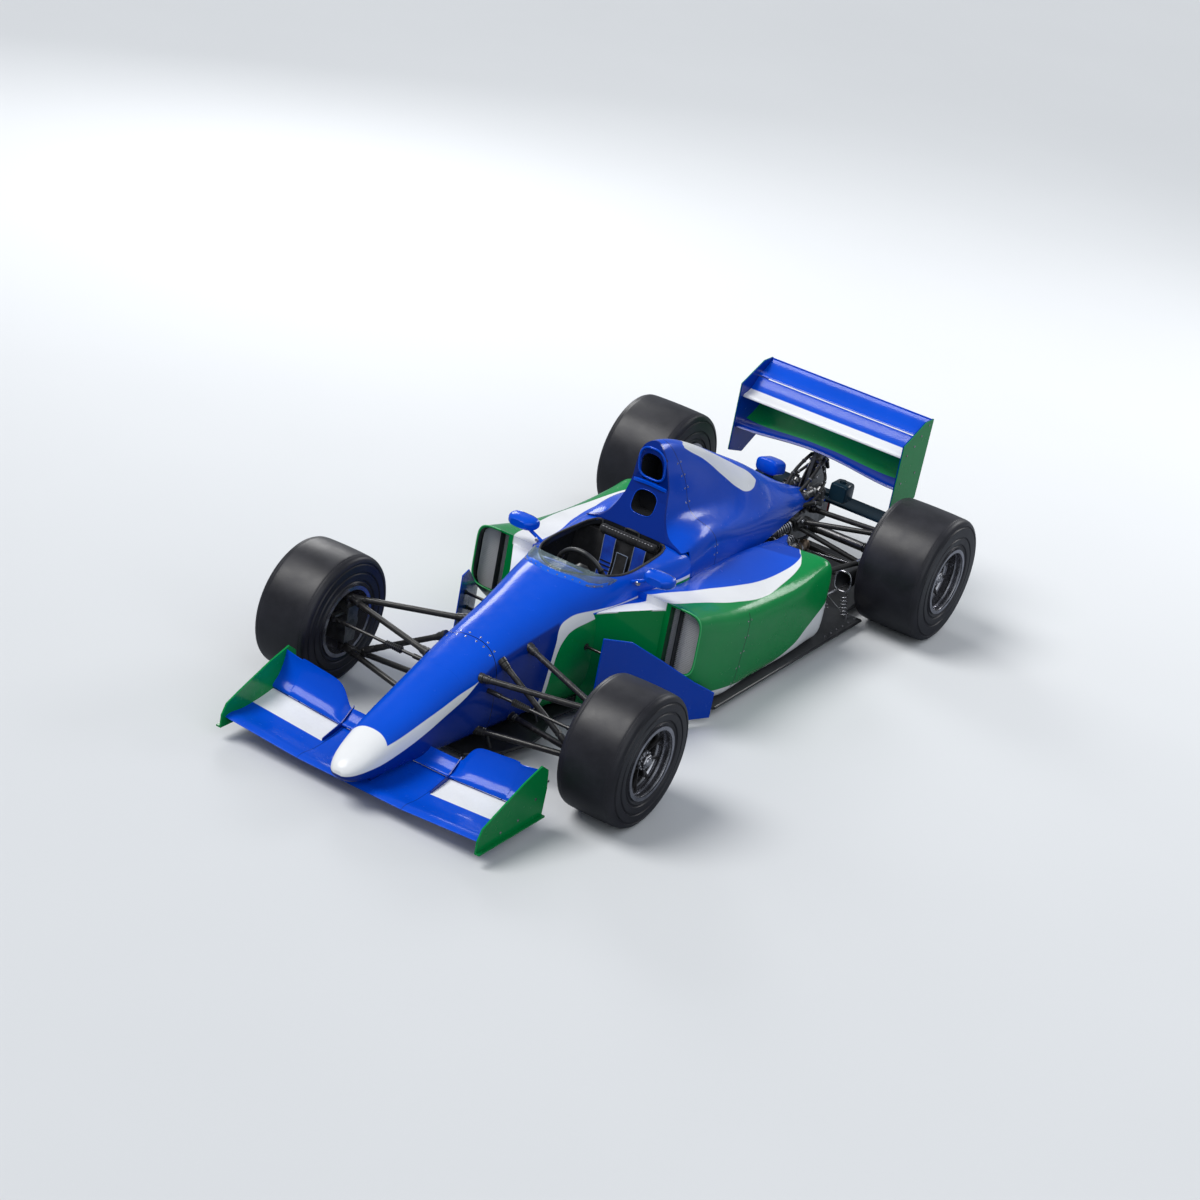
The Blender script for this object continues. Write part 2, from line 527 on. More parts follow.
class Part:
    """Points and faces of one piece, gathered from several surfaces."""

    def __init__(self):
        self.points = []
        self.faces = []
        self.count = 0

    def add(self, points, faces):
        """Take one more closed surface; its faces count its own points from 0."""
        self.points.append(np.asarray(points, float).reshape(-1, 3))
        self.faces += [tuple(int(index) + self.count for index in face) for face in faces]
        self.count += len(self.points[-1])

    def sheet(self, grid, close_rows=False, close_columns=False, caps=False):
        """Quads between the neighbours of a grid of points; an end row may be closed by a face."""
        grid = np.asarray(grid, float)
        rows, columns = grid.shape[:2]
        row = np.arange(rows if close_rows else rows - 1)
        column = np.arange(columns if close_columns else columns - 1)
        first, second = np.meshgrid(row, column, indexing="ij")
        after_row, after_column = (first + 1) % rows, (second + 1) % columns
        quads = np.stack([
            first * columns + second, after_row * columns + second,
            after_row * columns + after_column, first * columns + after_column], -1).reshape(-1, 4)
        faces = [tuple(quad) for quad in quads]
        if caps:
            faces.append(tuple(range(columns)))
            faces.append(tuple(range((rows - 1) * columns, rows * columns)))
        self.add(grid, faces)

    def lathe(self, centre, axis, profile, steps, caps=True):
        """Profile (along, radius) turned round an axis: point = centre + along * axis + radius * (cos,
        sin)."""
        axis = np.array(axis, float) / np.linalg.norm(axis)
        side = np.cross(axis, [0.0, 0.0, 1.0] if abs(axis[2]) < 0.9 else [0.0, 1.0, 0.0])
        side /= np.linalg.norm(side)
        up = np.cross(axis, side)
        profile = np.asarray(profile, float)
        angle = np.linspace(0.0, 2 * np.pi, steps, endpoint=False)
        ring = np.outer(np.cos(angle), side) + np.outer(np.sin(angle), up)
        grid = np.asarray(centre, float) + profile[:, None, :1] * axis + profile[:, None, 1:] * ring[None]
        self.sheet(grid, close_columns=True, caps=caps)

    def pipe(self, path, radius, sides=16):
        """Round pipe: a circle of the given radius (one number or one for each point) carried
        along the path."""
        path = np.asarray(path, float)
        radius = np.broadcast_to(np.asarray(radius, float), (len(path),))
        along = np.gradient(path, axis=0)
        along /= np.linalg.norm(along, axis=1)[:, None]
        start = np.array([0.0, 0.0, 1.0]) if abs(along[0][2]) < 0.9 else np.array([1.0, 0.0, 0.0])
        side = np.empty_like(path)
        for index, direction in enumerate(along):
            start = start - direction * start.dot(direction)
            start /= np.linalg.norm(start)
            side[index] = start
        up = np.cross(along, side)
        angle = np.linspace(0.0, 2 * np.pi, sides, endpoint=False)
        grid = path[:, None] + radius[:, None, None] * (
            np.cos(angle)[None, :, None] * side[:, None] + np.sin(angle)[None, :, None] * up[:, None])
        self.sheet(grid, close_columns=True, caps=True)

    def beading(self, path, radius, across):
        """Round pipe of twelve sides along a closed path; across is a direction that the path never takes."""
        along = np.roll(path, -1, axis=0) - np.roll(path, 1, axis=0)
        along /= np.linalg.norm(along, axis=1)[:, None]
        side = np.cross(along, across)
        side /= np.linalg.norm(side, axis=1)[:, None]
        up = np.cross(side, along)
        angle = np.linspace(0.0, 2 * np.pi, 12, endpoint=False)
        grid = path[:, None] + radius * (
            np.cos(angle)[None, :, None] * side[:, None] + np.sin(angle)[None, :, None] * up[:, None])
        self.sheet(grid, close_rows=True, close_columns=True)

    def prism(self, outline, direction):
        """Flat outline pushed along a direction."""
        outline = np.asarray(outline, float)
        grid = np.stack([outline, outline + np.asarray(direction, float)])
        self.sheet(grid, close_columns=True, caps=True)

    def block(self, low, high):
        """Box between two corners."""
        (x0, y0, z0), (x1, y1, z1) = low, high
        self.prism([(x0, y0, z0), (x1, y0, z0), (x1, y1, z0), (x0, y1, z0)], (0.0, 0.0, z1 - z0))

    def mirror(self):
        """Add the same surfaces on the other side of the car."""
        points = np.concatenate(self.points) * [-1.0, 1.0, 1.0]
        self.add(points, list(self.faces))

    def build(self, name, material, body, slot, smooth):
        """Finished piece, its faces outwards, that rides on a body."""
        mesh = bpy.data.meshes.new(name)
        mesh.from_pydata(np.concatenate(self.points).tolist(), [], self.faces)
        shape = bmesh.new()
        shape.from_mesh(mesh)
        bmesh.ops.remove_doubles(shape, verts=shape.verts, dist=1e-6)
        bmesh.ops.recalc_face_normals(shape, faces=shape.faces)
        for edge in shape.edges:
            edge.smooth = len(edge.link_faces) == 2 and edge.calc_face_angle(0.0) < math.radians(smooth)
        for face in shape.faces:
            face.smooth = True
        shape.to_mesh(mesh)
        shape.free()
        piece = bpy.data.objects.new(name, mesh)
        bpy.context.scene.collection.objects.link(piece)
        mesh.materials.append(material)
        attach(piece, body)
        return piece


def squared_circle(angle, power):
    """Circle drawn out towards its corners: |cos| and |sin| to a power under 1, with their signs."""
    return (np.copysign(np.abs(np.cos(angle)) ** power, np.cos(angle)),
            np.copysign(np.abs(np.sin(angle)) ** power, np.sin(angle)))


# Sides of the car, and each end's wheel centre, tyre radius and tyre width

SIDES = (("left", 1.0), ("right", -1.0))
FRONT_WHEEL = (0.845, -1.24, 0.321)
REAR_WHEEL = (0.803, 1.67, 0.337)
WHEELS = (("front", FRONT_WHEEL, 0.321, 0.306), ("rear", REAR_WHEEL, 0.337, 0.378))


# Finishes of the CAD nodes

paint = {
    "nose_cone": nose_finish(),
    "monocoque": tub_finish(),
    "sidepod_left": pod_finish(),
    "engine_cover": cover_finish(),
    "front_wing_main_plane": front_plane_finish(),
    "front_wing_flaps": flap_finish(),
    "front_wing_endplates": end_plate_finish("front_end_plate_paint", 0.600),
    "rear_wing_endplates": end_plate_finish("rear_end_plate_paint", 0.4985),
    "rear_wing_upper_planes": upper_wing_finish(),
    "rear_wing_lower_plane": lower_wing_finish(),
    "mirrors": plain_paint("mirror_paint", ROYAL_BLUE),
    "bargeboards": plain_paint("vane_paint", DEEP_BLUE),
    "windscreen": screen_finish(),
    "radiators": core_finish(),
    "seat": cloth_finish("seat_cloth", (0.006, 0.006, 0.007), (0.035, 0.035, 0.04)),
    "belts": cloth_finish("belt_webbing", (0.004, 0.03, 0.22), (0.01, 0.08, 0.48)),
    "headrest": cloth_finish("pad_cloth", (0.006, 0.006, 0.007), (0.04, 0.04, 0.045)),
    "rain_light": lamp_finish(),
}
paint["sidepod_right"] = paint["sidepod_left"]
carbon = carbon_finish()
satin = tube_finish()
cast_metal = metal_finish("cast_metal", (0.20, 0.20, 0.205))
steel = metal_finish("machined_steel", (0.45, 0.45, 0.48), 0.15, 0.35)
dark_steel = metal_finish("dark_steel", (0.13, 0.13, 0.135), 0.3, 0.5)
exhaust_steel = metal_finish("exhaust_steel", (0.30, 0.22, 0.16), 0.25, 0.5)
rubber = rubber_finish()
front_rim_metal = rim_finish("front_rim_metal", *FRONT_WHEEL[1:])
rear_rim_metal = rim_finish("rear_rim_metal", *REAR_WHEEL[1:])
for name in ("floor", "diffuser", "rear_wing_pylon", "crash_structure", "steering_wheel"):
    paint[name] = carbon
for name in ("wishbones", "pushrods", "steering_rack"):
    paint[name] = satin
for name in ("engine_block", "gearbox", "rear_uprights", "front_upright_left", "front_upright_right"):
    paint[name] = cast_metal
paint["exhausts"] = exhaust_steel
for side, _ in SIDES:
    for end, rim_metal in (("front", front_rim_metal), ("rear", rear_rim_metal)):
        paint[f"tyre_{end}_{side}"] = rubber
        paint[f"rim_{end}_{side}"] = rim_metal
        paint[f"hub_{end}_{side}"] = dark_steel

for name, node in nodes.items():
    node.data.materials.clear()
    node.data.materials.append(paint[name])


# Tyres

def tyre_profile(radius, width):
    """Half section of a slick: bead, ribbed sidewall, stepped shoulder and crowned tread."""
    half = width / 2
    side = [(half - 0.0093, 0.1664), (half - 0.0093, 0.1788), (half - 0.006, 0.186), (half - 0.0025, 0.194),
        (half - 0.0075, 0.198), (half - 0.0080, 0.203), (half - 0.0020, 0.2075), (half - 0.0002, 0.222),
        (half - 0.0002, 0.236), (half - 0.0060, 0.2395), (half - 0.0062, 0.2440), (half - 0.0010, 0.248),
        (half - 0.0012, radius - 0.055), (half - 0.0022, radius - 0.042), (half - 0.0085, radius - 0.0385),
        (half - 0.0088, radius - 0.034), (half - 0.0046, radius - 0.0300), (half - 0.0085, radius - 0.0185),
        (half - 0.0150, radius - 0.0100), (half - 0.0240, radius - 0.0052), (half - 0.0330, radius - 0.0036),
        (half - 0.0338, radius - 0.0044), (half - 0.0350, radius - 0.0036)]
    place = np.linspace(half - 0.045, 0.0, 8)
    tread = np.stack([place, radius - 0.003 * (place / (half - 0.0323)) ** 2], 1)
    side = np.concatenate([np.array(side), tread])
    other = side[::-1][1:] * [-1.0, 1.0]
    whole = np.concatenate([side, other])
    return np.concatenate([whole, whole[:1]])


for side, sign in SIDES:
    for end, centre, radius, width in WHEELS:
        tyre = Part()
        tyre.lathe((sign * centre[0], *centre[1:]), (1.0, 0.0, 0.0), tyre_profile(radius, width), 112,
            caps=False)
        piece = tyre.build(f"slick_{end}_{side}", rubber, f"wheel_{end}_{side}", "tyre_rubber", 28.0)
        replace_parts(piece, f"tyre_{end}_{side}")


# Wheels

# Share of the tyre's half width at which the wheel's inner face lies
FACE_SHARE = 0.34


def rim_rings(side, sign, end, centre, half):
    """Turned rings in the dish of a wheel: a stepped lip, a bead inside the barrel and a ring
    round the spokes."""
    rings = Part()
    start = (sign * centre[0], *centre[1:])
    face = FACE_SHARE * half
    rings.lathe(start, (sign, 0.0, 0.0), [(half - 0.0005, 0.1760), (half - 0.0005, 0.1665),
        (half - 0.0050, 0.1600), (half - 0.0120, 0.1572), (half - 0.0160, 0.1572), (half - 0.0190, 0.1605),
        (half - 0.0080, 0.1640), (half - 0.0030, 0.1770), (half - 0.0005, 0.1760)], 96, caps=False)
    rings.lathe(start, (sign, 0.0, 0.0), [(half - 0.036, 0.1605), (half - 0.036, 0.1550),
        (half - 0.041, 0.1535), (half - 0.046, 0.1550), (half - 0.046, 0.1605), (half - 0.036, 0.1605)], 96,
        caps=False)
    rings.lathe(start, (sign, 0.0, 0.0), [(face + 0.044, 0.1605), (face + 0.040, 0.1490),
        (face + 0.033, 0.1440), (face + 0.024, 0.1430), (face + 0.014, 0.1450), (face + 0.010, 0.1605),
        (face + 0.044, 0.1605)], 96, caps=False)
    return rings.build(f"rim_rings_{end}_{side}", steel, f"wheel_{end}_{side}", "rim_metal", 30.0)


def spoke_caps(side, sign, end, centre, half):
    """Ten raised ribs on the spokes: width = 9 mm + 13 mm * share^2, with share from hub to barrel."""
    caps = Part()
    face = FACE_SHARE * half + 0.030
    share = np.linspace(0.0, 1.0, 9)
    radius = 0.046 + 0.110 * share
    width = 0.0045 + 0.0065 * share ** 2
    crown = 0.010 + 0.010 * share ** 2
    for index in range(10):
        turn = index * math.pi / 5 + math.pi / 2
        along = np.array([0.0, math.cos(turn), math.sin(turn)])
        across = np.array([0.0, -math.sin(turn), math.cos(turn)])
        middle = np.array([sign * (centre[0] + face), centre[1], centre[2]]) + radius[:, None] * along
        rows = []
        for over, up in ((-1.0, -0.004), (-1.0, 0.3), (-0.55, 1.0), (0.55, 1.0), (1.0, 0.3), (1.0, -0.004)):
            lift = np.where(up > 0, up * crown, up)
            rows.append(middle + (over * width)[:, None] * across + lift[:, None] * [sign, 0.0, 0.0])
        caps.sheet(np.stack(rows, 1), close_columns=True, caps=True)
    return caps.build(f"spoke_caps_{end}_{side}", satin, f"wheel_{end}_{side}", "rim_metal", 30.0)


def wheel_nut(side, sign, end, centre, half):
    """Centre lock: a flanged six sided nut with a domed end, ten drive pegs round it,
    a tyre valve and its nut."""
    nut = Part()
    start = (sign * centre[0], *centre[1:])
    end_face = FACE_SHARE * half + 0.070
    axis = (sign, 0.0, 0.0)
    nut.lathe(start, axis, [(end_face - 0.022, 0.045), (end_face - 0.012, 0.045), (end_face - 0.008, 0.038),
        (end_face - 0.008, 0.022)], 48)
    nut.lathe(start, axis, [(end_face - 0.010, 0.0335), (end_face + 0.006, 0.0335), (end_face + 0.010, 0.030),
        (end_face + 0.010, 0.010)], 6)
    dome = np.linspace(0.0, math.pi / 2 - 0.05, 9)
    nut.lathe(start, axis, np.stack([end_face + 0.008 + 0.014 * np.sin(dome), 0.0225 * np.cos(dome)], 1), 36)
    for index in range(10):
        turn = (index + 0.5) * math.pi / 5
        peg = (start[0], start[1] + 0.0405 * math.cos(turn), start[2] + 0.0405 * math.sin(turn))
        nut.lathe(peg, axis, [(end_face - 0.016, 0.0050), (end_face - 0.004, 0.0050),
            (end_face - 0.001, 0.0030)], 12)
    valve = (start[0], start[1] + 0.148, start[2] + 0.02)
    nut.lathe(valve, axis, [(end_face - 0.050, 0.0045), (end_face - 0.015, 0.0045),
        (end_face - 0.013, 0.0060), (end_face - 0.004, 0.0060), (end_face - 0.003, 0.004)], 12)
    return nut.build(f"wheel_nut_{end}_{side}", steel, f"wheel_{end}_{side}", "hub_metal", 30.0)


for side, sign in SIDES:
    for end, centre, _, width in WHEELS:
        for fitting in (rim_rings, spoke_caps, wheel_nut):
            fitting(side, sign, end, centre, width / 2)


# Suspension fittings

def surface_of(*names):
    """Search tree of the CAD nodes' triangles."""
    points, faces = [], []
    for name in names:
        mesh = nodes[name].data
        start = len(points)
        points += [tuple(vertex.co) for vertex in mesh.vertices]
        faces += [tuple(start + index for index in face.vertices) for face in mesh.polygons]
    return BVHTree.FromPolygons(points, faces)


tub_surface = surface_of("monocoque", "nose_cone")
gearbox_surface = surface_of("gearbox", "engine_cover")


def exit_point(surface, inner, outer):
    """Where a leg from outer towards inner meets a surface."""
    outer, inner = Vector(outer), Vector(inner)
    found = surface.ray_cast(outer, (inner - outer).normalized())[0]
    return np.array(found if found else inner)


FRONT_LEGS = [
    ((0.0936, -1.3913, 0.4301), (0.700, -1.240, 0.446)), ((0.0936, -1.0218, 0.4991), (0.700, -1.240, 0.446)),
    ((0.0624, -1.3797, 0.1610), (0.700, -1.240, 0.196)), ((0.0624, -1.0887, 0.1575), (0.700, -1.240, 0.196)),
    ((0.0936, -1.2400, 0.5129), (0.575, -1.240, 0.2207))]
REAR_LEGS = [
    ((0.056, 1.5100, 0.3824), (0.663, 1.670, 0.462)), ((0.056, 1.8155, 0.3626), (0.663, 1.670, 0.462)),
    ((0.056, 1.3790, 0.1729), (0.663, 1.670, 0.212)), ((0.056, 1.7282, 0.1928), (0.663, 1.670, 0.212)),
    ((0.056, 1.5245, 0.3852), (0.605, 1.657, 0.2367))]
BALL_JOINTS = ((0.700, -1.240, 0.446), (0.700, -1.240, 0.196), (0.663, 1.670, 0.462), (0.663, 1.670, 0.212))
ARM_RADIUS, ROD_RADIUS, LEG_END_RADIUS = 0.0145, 0.0140, 0.0105
TRACK_ROD_Y, TRACK_ROD_Z = -1.34, 0.36594


def link_fittings():
    """Bosses and collars where the legs meet the body, and stepped sleeves with lock nuts near
    their outer ends."""
    fittings = Part()
    for legs, surface in ((FRONT_LEGS, tub_surface), (REAR_LEGS, gearbox_surface)):
        for inner, outer in legs:
            foot = exit_point(surface, inner, outer)
            run = np.array(outer) - foot
            length = np.linalg.norm(run)
            fittings.lathe(foot, run, [(-0.012, 0.024), (0.006, 0.024), (0.009, 0.0205), (0.030, 0.0205),
                (0.033, 0.0180), (0.040, 0.0180), (0.043, 0.0150), (0.062, 0.0150), (0.064, 0.0132)], 24)
            fittings.lathe(foot, run, [(length - 0.125, 0.0132), (length - 0.122, 0.0155),
                (length - 0.085, 0.0155), (length - 0.083, 0.0132)], 24)
            fittings.lathe(foot, run, [(length - 0.081, 0.0175), (length - 0.070, 0.0175)], 6)
            fittings.lathe(foot, run, [(length - 0.068, 0.0132), (length - 0.060, 0.0165),
                (length - 0.030, 0.0165), (length - 0.014, 0.0190)], 24)
    for centre in BALL_JOINTS:
        fittings.lathe(centre, (0.0, 0.0, 1.0), [(-0.0165, 0.012), (-0.0165, 0.020), (-0.013, 0.0235),
            (0.013, 0.0235), (0.0165, 0.020), (0.0165, 0.012)], 28)
    fittings.mirror()
    return fittings.build("link_fittings", satin, "chassis", "satin_black", 30.0)


link_fittings()


def tapered_arm(part, foot, ball, full):
    """Leg of an arm, whose radius swells over its first and last tenth as sin(share * pi / 2)."""
    share = np.linspace(0.0, 1.0, 41)
    near = np.clip(np.minimum(share, 1 - share) / 0.10, 0.0, 1.0)
    path = np.array(foot) + share[:, None] * (np.array(ball) - foot)
    part.pipe(path, LEG_END_RADIUS + (full - LEG_END_RADIUS) * np.sin(near * math.pi / 2), 24)


def suspension_arms():
    """The wishbones and the pushrods as swelled tubes, with their ball housings."""
    arms, rods = Part(), Part()
    for legs, surface in ((FRONT_LEGS, tub_surface), (REAR_LEGS, gearbox_surface)):
        for inner, outer in legs[:4]:
            tapered_arm(arms, exit_point(surface, inner, outer), outer, ARM_RADIUS)
        inner, outer = legs[4]
        tapered_arm(rods, exit_point(surface, inner, outer), outer, ROD_RADIUS)
        rods.lathe(np.array(outer) - [0.0, 0.0, 0.034], (0.0, 0.0, 1.0),
            [(0.0, 0.008), (0.004, 0.013), (0.030, 0.013), (0.040, 0.0165), (0.046, 0.0120), (0.048, 0.004)],
            24)
    for centre in BALL_JOINTS:
        angle = np.linspace(-math.pi / 2 + 0.05, math.pi / 2 - 0.05, 15)
        arms.lathe(centre, (0.0, 0.0, 1.0), np.stack([0.0165 * np.sin(angle), 0.0165 * np.cos(angle)], 1), 24)
    arms.mirror()
    rods.mirror()
    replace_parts(arms.build("suspension_arms", satin, "chassis", "satin_black", 40.0), "wishbones")
    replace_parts(rods.build("push_rods", satin, "chassis", "satin_black", 40.0), "pushrods")


suspension_arms()


def track_rod_ends():
    """Rubber bellows where each track rod leaves the tub, and its threaded end with a lock nut."""
    ends = Part()
    for sign in (-1.0, 1.0):
        place = np.arange(19)
        bellows = np.stack([0.008 + 0.0052 * place, np.where(place % 2 == 0, 0.0130,
            0.0185) * (1 - 0.012 * place)], 1)
        ends.lathe((sign * 0.30, TRACK_ROD_Y, TRACK_ROD_Z), (sign, 0.0, 0.0), bellows, 24)
        ends.lathe((sign * 0.655, TRACK_ROD_Y, TRACK_ROD_Z), (sign, 0.0, 0.0),
            [(0.0, 0.0125), (0.012, 0.0125)], 6)
        ends.lathe((sign * 0.60, TRACK_ROD_Y, TRACK_ROD_Z), (sign, 0.0, 0.0),
            [(0.0, 0.0082), (0.004, 0.0108), (0.050, 0.0108), (0.054, 0.0082)], 20)
    return ends.build("track_rod_ends", satin, "steering_rack", "satin_black", 30.0)


track_rod_ends()


# Brakes

def caliper_detail(name, body, centre, inner_x):
    """Caliper halves with cooling ribs, two bridge bolts, pad pins and a pipe."""
    detail = Part()
    sign = math.copysign(1.0, inner_x)
    y, z = centre
    for rise in np.linspace(-0.045, 0.045, 7):
        detail.block((inner_x - sign * 0.0405, y - 0.027, z + rise - 0.0022),
            (inner_x - sign * 0.036, y + 0.027, z + rise + 0.0022))
    for rise in (-0.032, 0.032):
        for across in (-0.014, 0.014):
            detail.lathe((inner_x - sign * 0.036, y + across, z + rise), (-sign, 0.0, 0.0),
                [(0.0, 0.0115), (0.006, 0.0115), (0.008, 0.009)], 18)
    angle = np.linspace(0.0, math.pi, 12)
    loop = np.stack([np.full(12, inner_x - sign * 0.045), y - 0.030 * np.sin(angle) * 0.6,
        z - 0.032 * np.cos(angle)], 1)
    detail.pipe(loop, 0.0028, 10)
    return detail.build(name, cast_metal, body, "cast_metal", 30.0)


for side, sign in SIDES:
    caliper_detail(f"caliper_front_{side}", f"knuckle_{side}", (-1.1406, 0.321), sign * 0.847)
    caliper_detail(f"caliper_rear_{side}", "chassis", (1.7694, 0.337), sign * 0.8172)

# Cockpit

def smooth_path(points, steps, closed=False):
    """Points of a Catmull-Rom curve through the given ones: cubic in each span,
    with slopes half the neighbours' difference."""
    points = np.asarray(points, float)
    if closed:
        ring = np.concatenate([points[-1:], points, points[:2]])
    else:
        ring = np.concatenate([2 * points[:1] - points[1:2], points, 2 * points[-1:] - points[-2:-1]])
    share = np.linspace(0.0, 1.0, steps, endpoint=False)[:, None]
    spans = []
    for before, start, end, after in zip(ring[:-3], ring[1:-2], ring[2:-1], ring[3:]):
        slope_in, slope_out = (end - before) / 2, (after - start) / 2
        spans.append((2 * share ** 3 - 3 * share ** 2 + 1) * start
                     + (share ** 3 - 2 * share ** 2 + share) * slope_in
                     + (3 * share ** 2 - 2 * share ** 3) * end
                     + (share ** 3 - share ** 2) * slope_out)
    whole = np.concatenate(spans)
    return whole if closed else np.concatenate([whole, points[-1:]])


def height_on(surface, x, y, fallback):
    """Height of the highest surface over a place."""
    found = surface.ray_cast(Vector((x, y, 2.0)), Vector((0.0, 0.0, -1.0)))[0]
    return found.z if found else fallback


COCKPIT_EDGE = [(0.0, -0.6347), (0.105, -0.594), (0.189, -0.483), (0.228, -0.338), (0.221, -0.105),
    (0.205, -0.012), (0.169, 0.0288), (0.0, 0.0346)]
monocoque_surface = surface_of("monocoque")
grip_rubber = metal_finish("moulded_rubber", (0.012, 0.012, 0.013), 0.45, 0.7)
grip_rubber.node_tree.nodes["Principled BSDF"].inputs["Metallic"].default_value = 0.0


def cockpit_trim():
    """Rubber edging round the cockpit opening."""
    half = COCKPIT_EDGE[1:-1]
    loop = [COCKPIT_EDGE[0]] + half + [COCKPIT_EDGE[-1]] + [(-x, y) for x, y in reversed(half)]
    plan = smooth_path([(x, y, 0.0) for x, y in loop], 10, closed=True)
    outward = plan - plan.mean(axis=0)
    outward /= np.linalg.norm(outward, axis=1)[:, None]
    rows = []
    for point, away in zip(plan, outward):
        probe = point + away * 0.006
        height = height_on(monocoque_surface, probe[0], probe[1], 0.66)
        rows.append((point[0] + away[0] * 0.001, point[1] + away[1] * 0.001, height + 0.001))
    rows = np.array(rows)
    rows[:, 2] = (np.roll(rows[:, 2], 1) + 2 * rows[:, 2] + np.roll(rows[:, 2], -1)) / 4
    trim = Part()
    trim.beading(rows, 0.0065, [0.0, 0.0, 1.0])
    return trim.build("cockpit_trim", grip_rubber, "chassis", "satin_black", 60.0)


cockpit_trim()

SEAT_LINE = [(0.0, 0.0055, 0.6474), (0.0, -0.0091, 0.4956), (0.0, -0.0906, 0.3300), (0.0, -0.2070, 0.2093),
    (0.0, -0.2943, 0.2058), (0.0, -0.3961, 0.2300)]
pad_cloth = paint["headrest"]


def seat_line():
    """Side view of the seat's face and the direction off it."""
    path = smooth_path(SEAT_LINE, 10)
    along = np.gradient(path, axis=0)
    along /= np.linalg.norm(along, axis=1)[:, None]
    off = np.cross(along, [1.0, 0.0, 0.0])
    return path, off


def seat_pad():
    """Quilted liner: thickness = 1 mm + 13 mm * (1 - |across|^4) * (1 - |along|^6), pinched at its seams.

    A seam takes off 45 per cent, as exp(-(distance / width)^2): four seams run across and four along.
    """
    path, off = seat_line()
    rows = len(path)
    along = np.linspace(-1.0, 1.0, rows)[:, None]
    across = np.linspace(-1.0, 1.0, 41)[None]
    swell = (1 - np.abs(across) ** 4) * (1 - np.abs(along) ** 6)
    seam = 1.0
    for run, places, width in ((along, (-0.6, -0.25, 0.15, 0.55), 0.03),
            (across, (-0.62, -0.2, 0.2, 0.62), 0.025)):
        distance = np.minimum.reduce([np.abs(run - place) for place in places])
        seam = seam * (1 - 0.45 * np.exp(-(distance / width) ** 2))
    lift = 0.001 + 0.013 * swell * seam
    half_width = 0.165 + 0.02 * (1 - along ** 2)
    base = path[:, None] + (half_width * across)[..., None] * [1.0, 0.0, 0.0]
    top = base + lift[..., None] * off[:, None]
    under = base - 0.004 * off[:, None]
    pad = Part()
    pad.sheet(np.concatenate([top, under[:, ::-1]], 1), close_columns=True, caps=True)
    piece = pad.build("seat_pad", pad_cloth, "chassis", "pad_cover", 80.0)


seat_pad()


# Axis of the padded roll behind the head
ROLL_Y, ROLL_Z = 0.0084, 0.669


def head_pad():
    """Padded roll behind the head: radius = 21.5 mm, pinched at five seams and rounded off at its ends."""
    half_length, cap = 0.162, 0.016
    rise = cap * (1 - np.cos(np.linspace(0.0, math.pi / 2, 7)))[:-1]
    straight = np.linspace(cap - half_length, half_length - cap, 61)
    x = np.concatenate([rise - half_length, straight, half_length - rise[::-1]])
    end = np.clip((half_length - np.abs(x)) / cap, 0.0, 1.0)
    seam = np.minimum.reduce([np.abs(x - place) for place in (-0.12, -0.06, 0.0, 0.06, 0.12)])
    radius = np.maximum(0.0215 * np.sqrt(1 - (1 - end) ** 2),
        0.001) * (1 - 0.14 * np.exp(-(seam / 0.003) ** 2))
    angle = np.linspace(0.0, 2 * np.pi, 32, endpoint=False)
    y, z = ROLL_Y + radius[:, None] * np.cos(angle), ROLL_Z + radius[:, None] * np.sin(angle)
    grid = np.stack(np.broadcast_arrays(x[:, None], y, z), -1)
    roll = Part()
    roll.sheet(grid, close_columns=True, caps=True)
    piece = roll.build("head_pad", pad_cloth, "chassis", "pad_cover", 80.0)
    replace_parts(piece, "headrest")


head_pad()

thread = metal_finish("light_thread", (0.55, 0.55, 0.58), 0.5, 0.7)
belt_cloth = cloth_finish("blue_webbing", (0.0, 0.030, 0.36), (0.004, 0.085, 0.66), 0.004)
edge_cloth = cloth_finish("webbing_edge", (0.16, 0.20, 0.30), (0.34, 0.40, 0.52), 0.004)


def head_pad_stitches():
    """Row of stitches along the roll."""
    stitches = Part()
    for x in np.linspace(-0.138, 0.138, 17):
        share = np.linspace(-1.0, 1.0, 5)
        bow = 1 - share ** 2
        path = np.stack([x + 0.005 * share, np.full(5, ROLL_Y - 0.0146), ROLL_Z + 0.0146 + 0.0012 * bow], 1)
        stitches.pipe(path, 0.0013 + 0.0006 * bow, 8)
    return stitches.build("head_pad_stitches", thread, "chassis", "pad_cover", 60.0)


head_pad_stitches()


def belt_grid(top_x, low_x, width, lift, thickness, rows=slice(0, 44)):
    """Strap of a given width, rounded across, that follows the seat;
    its middle goes from top_x to low_x as share^1.5."""
    path, off = seat_line()
    path, off = path[rows], off[rows]
    share = np.linspace(0.0, 1.0, len(path))[:, None]
    across = np.linspace(-1.0, 1.0, 9)[None]
    wave = 0.0012 * np.sin(9 * share) + 0.0008 * np.sin(23 * share)
    middle = top_x + (low_x - top_x) * share ** 1.5
    high = lift + wave + 0.0010 * across ** 2
    shape = []
    for level, order in ((high + thickness, across), (high, across[:, ::-1])):
        row = path[:, None] + level[..., None] * off[:, None]
        shape.append(row + (middle + width / 2 * order)[..., None] * [1.0, 0.0, 0.0])
    return np.concatenate(shape, 1)


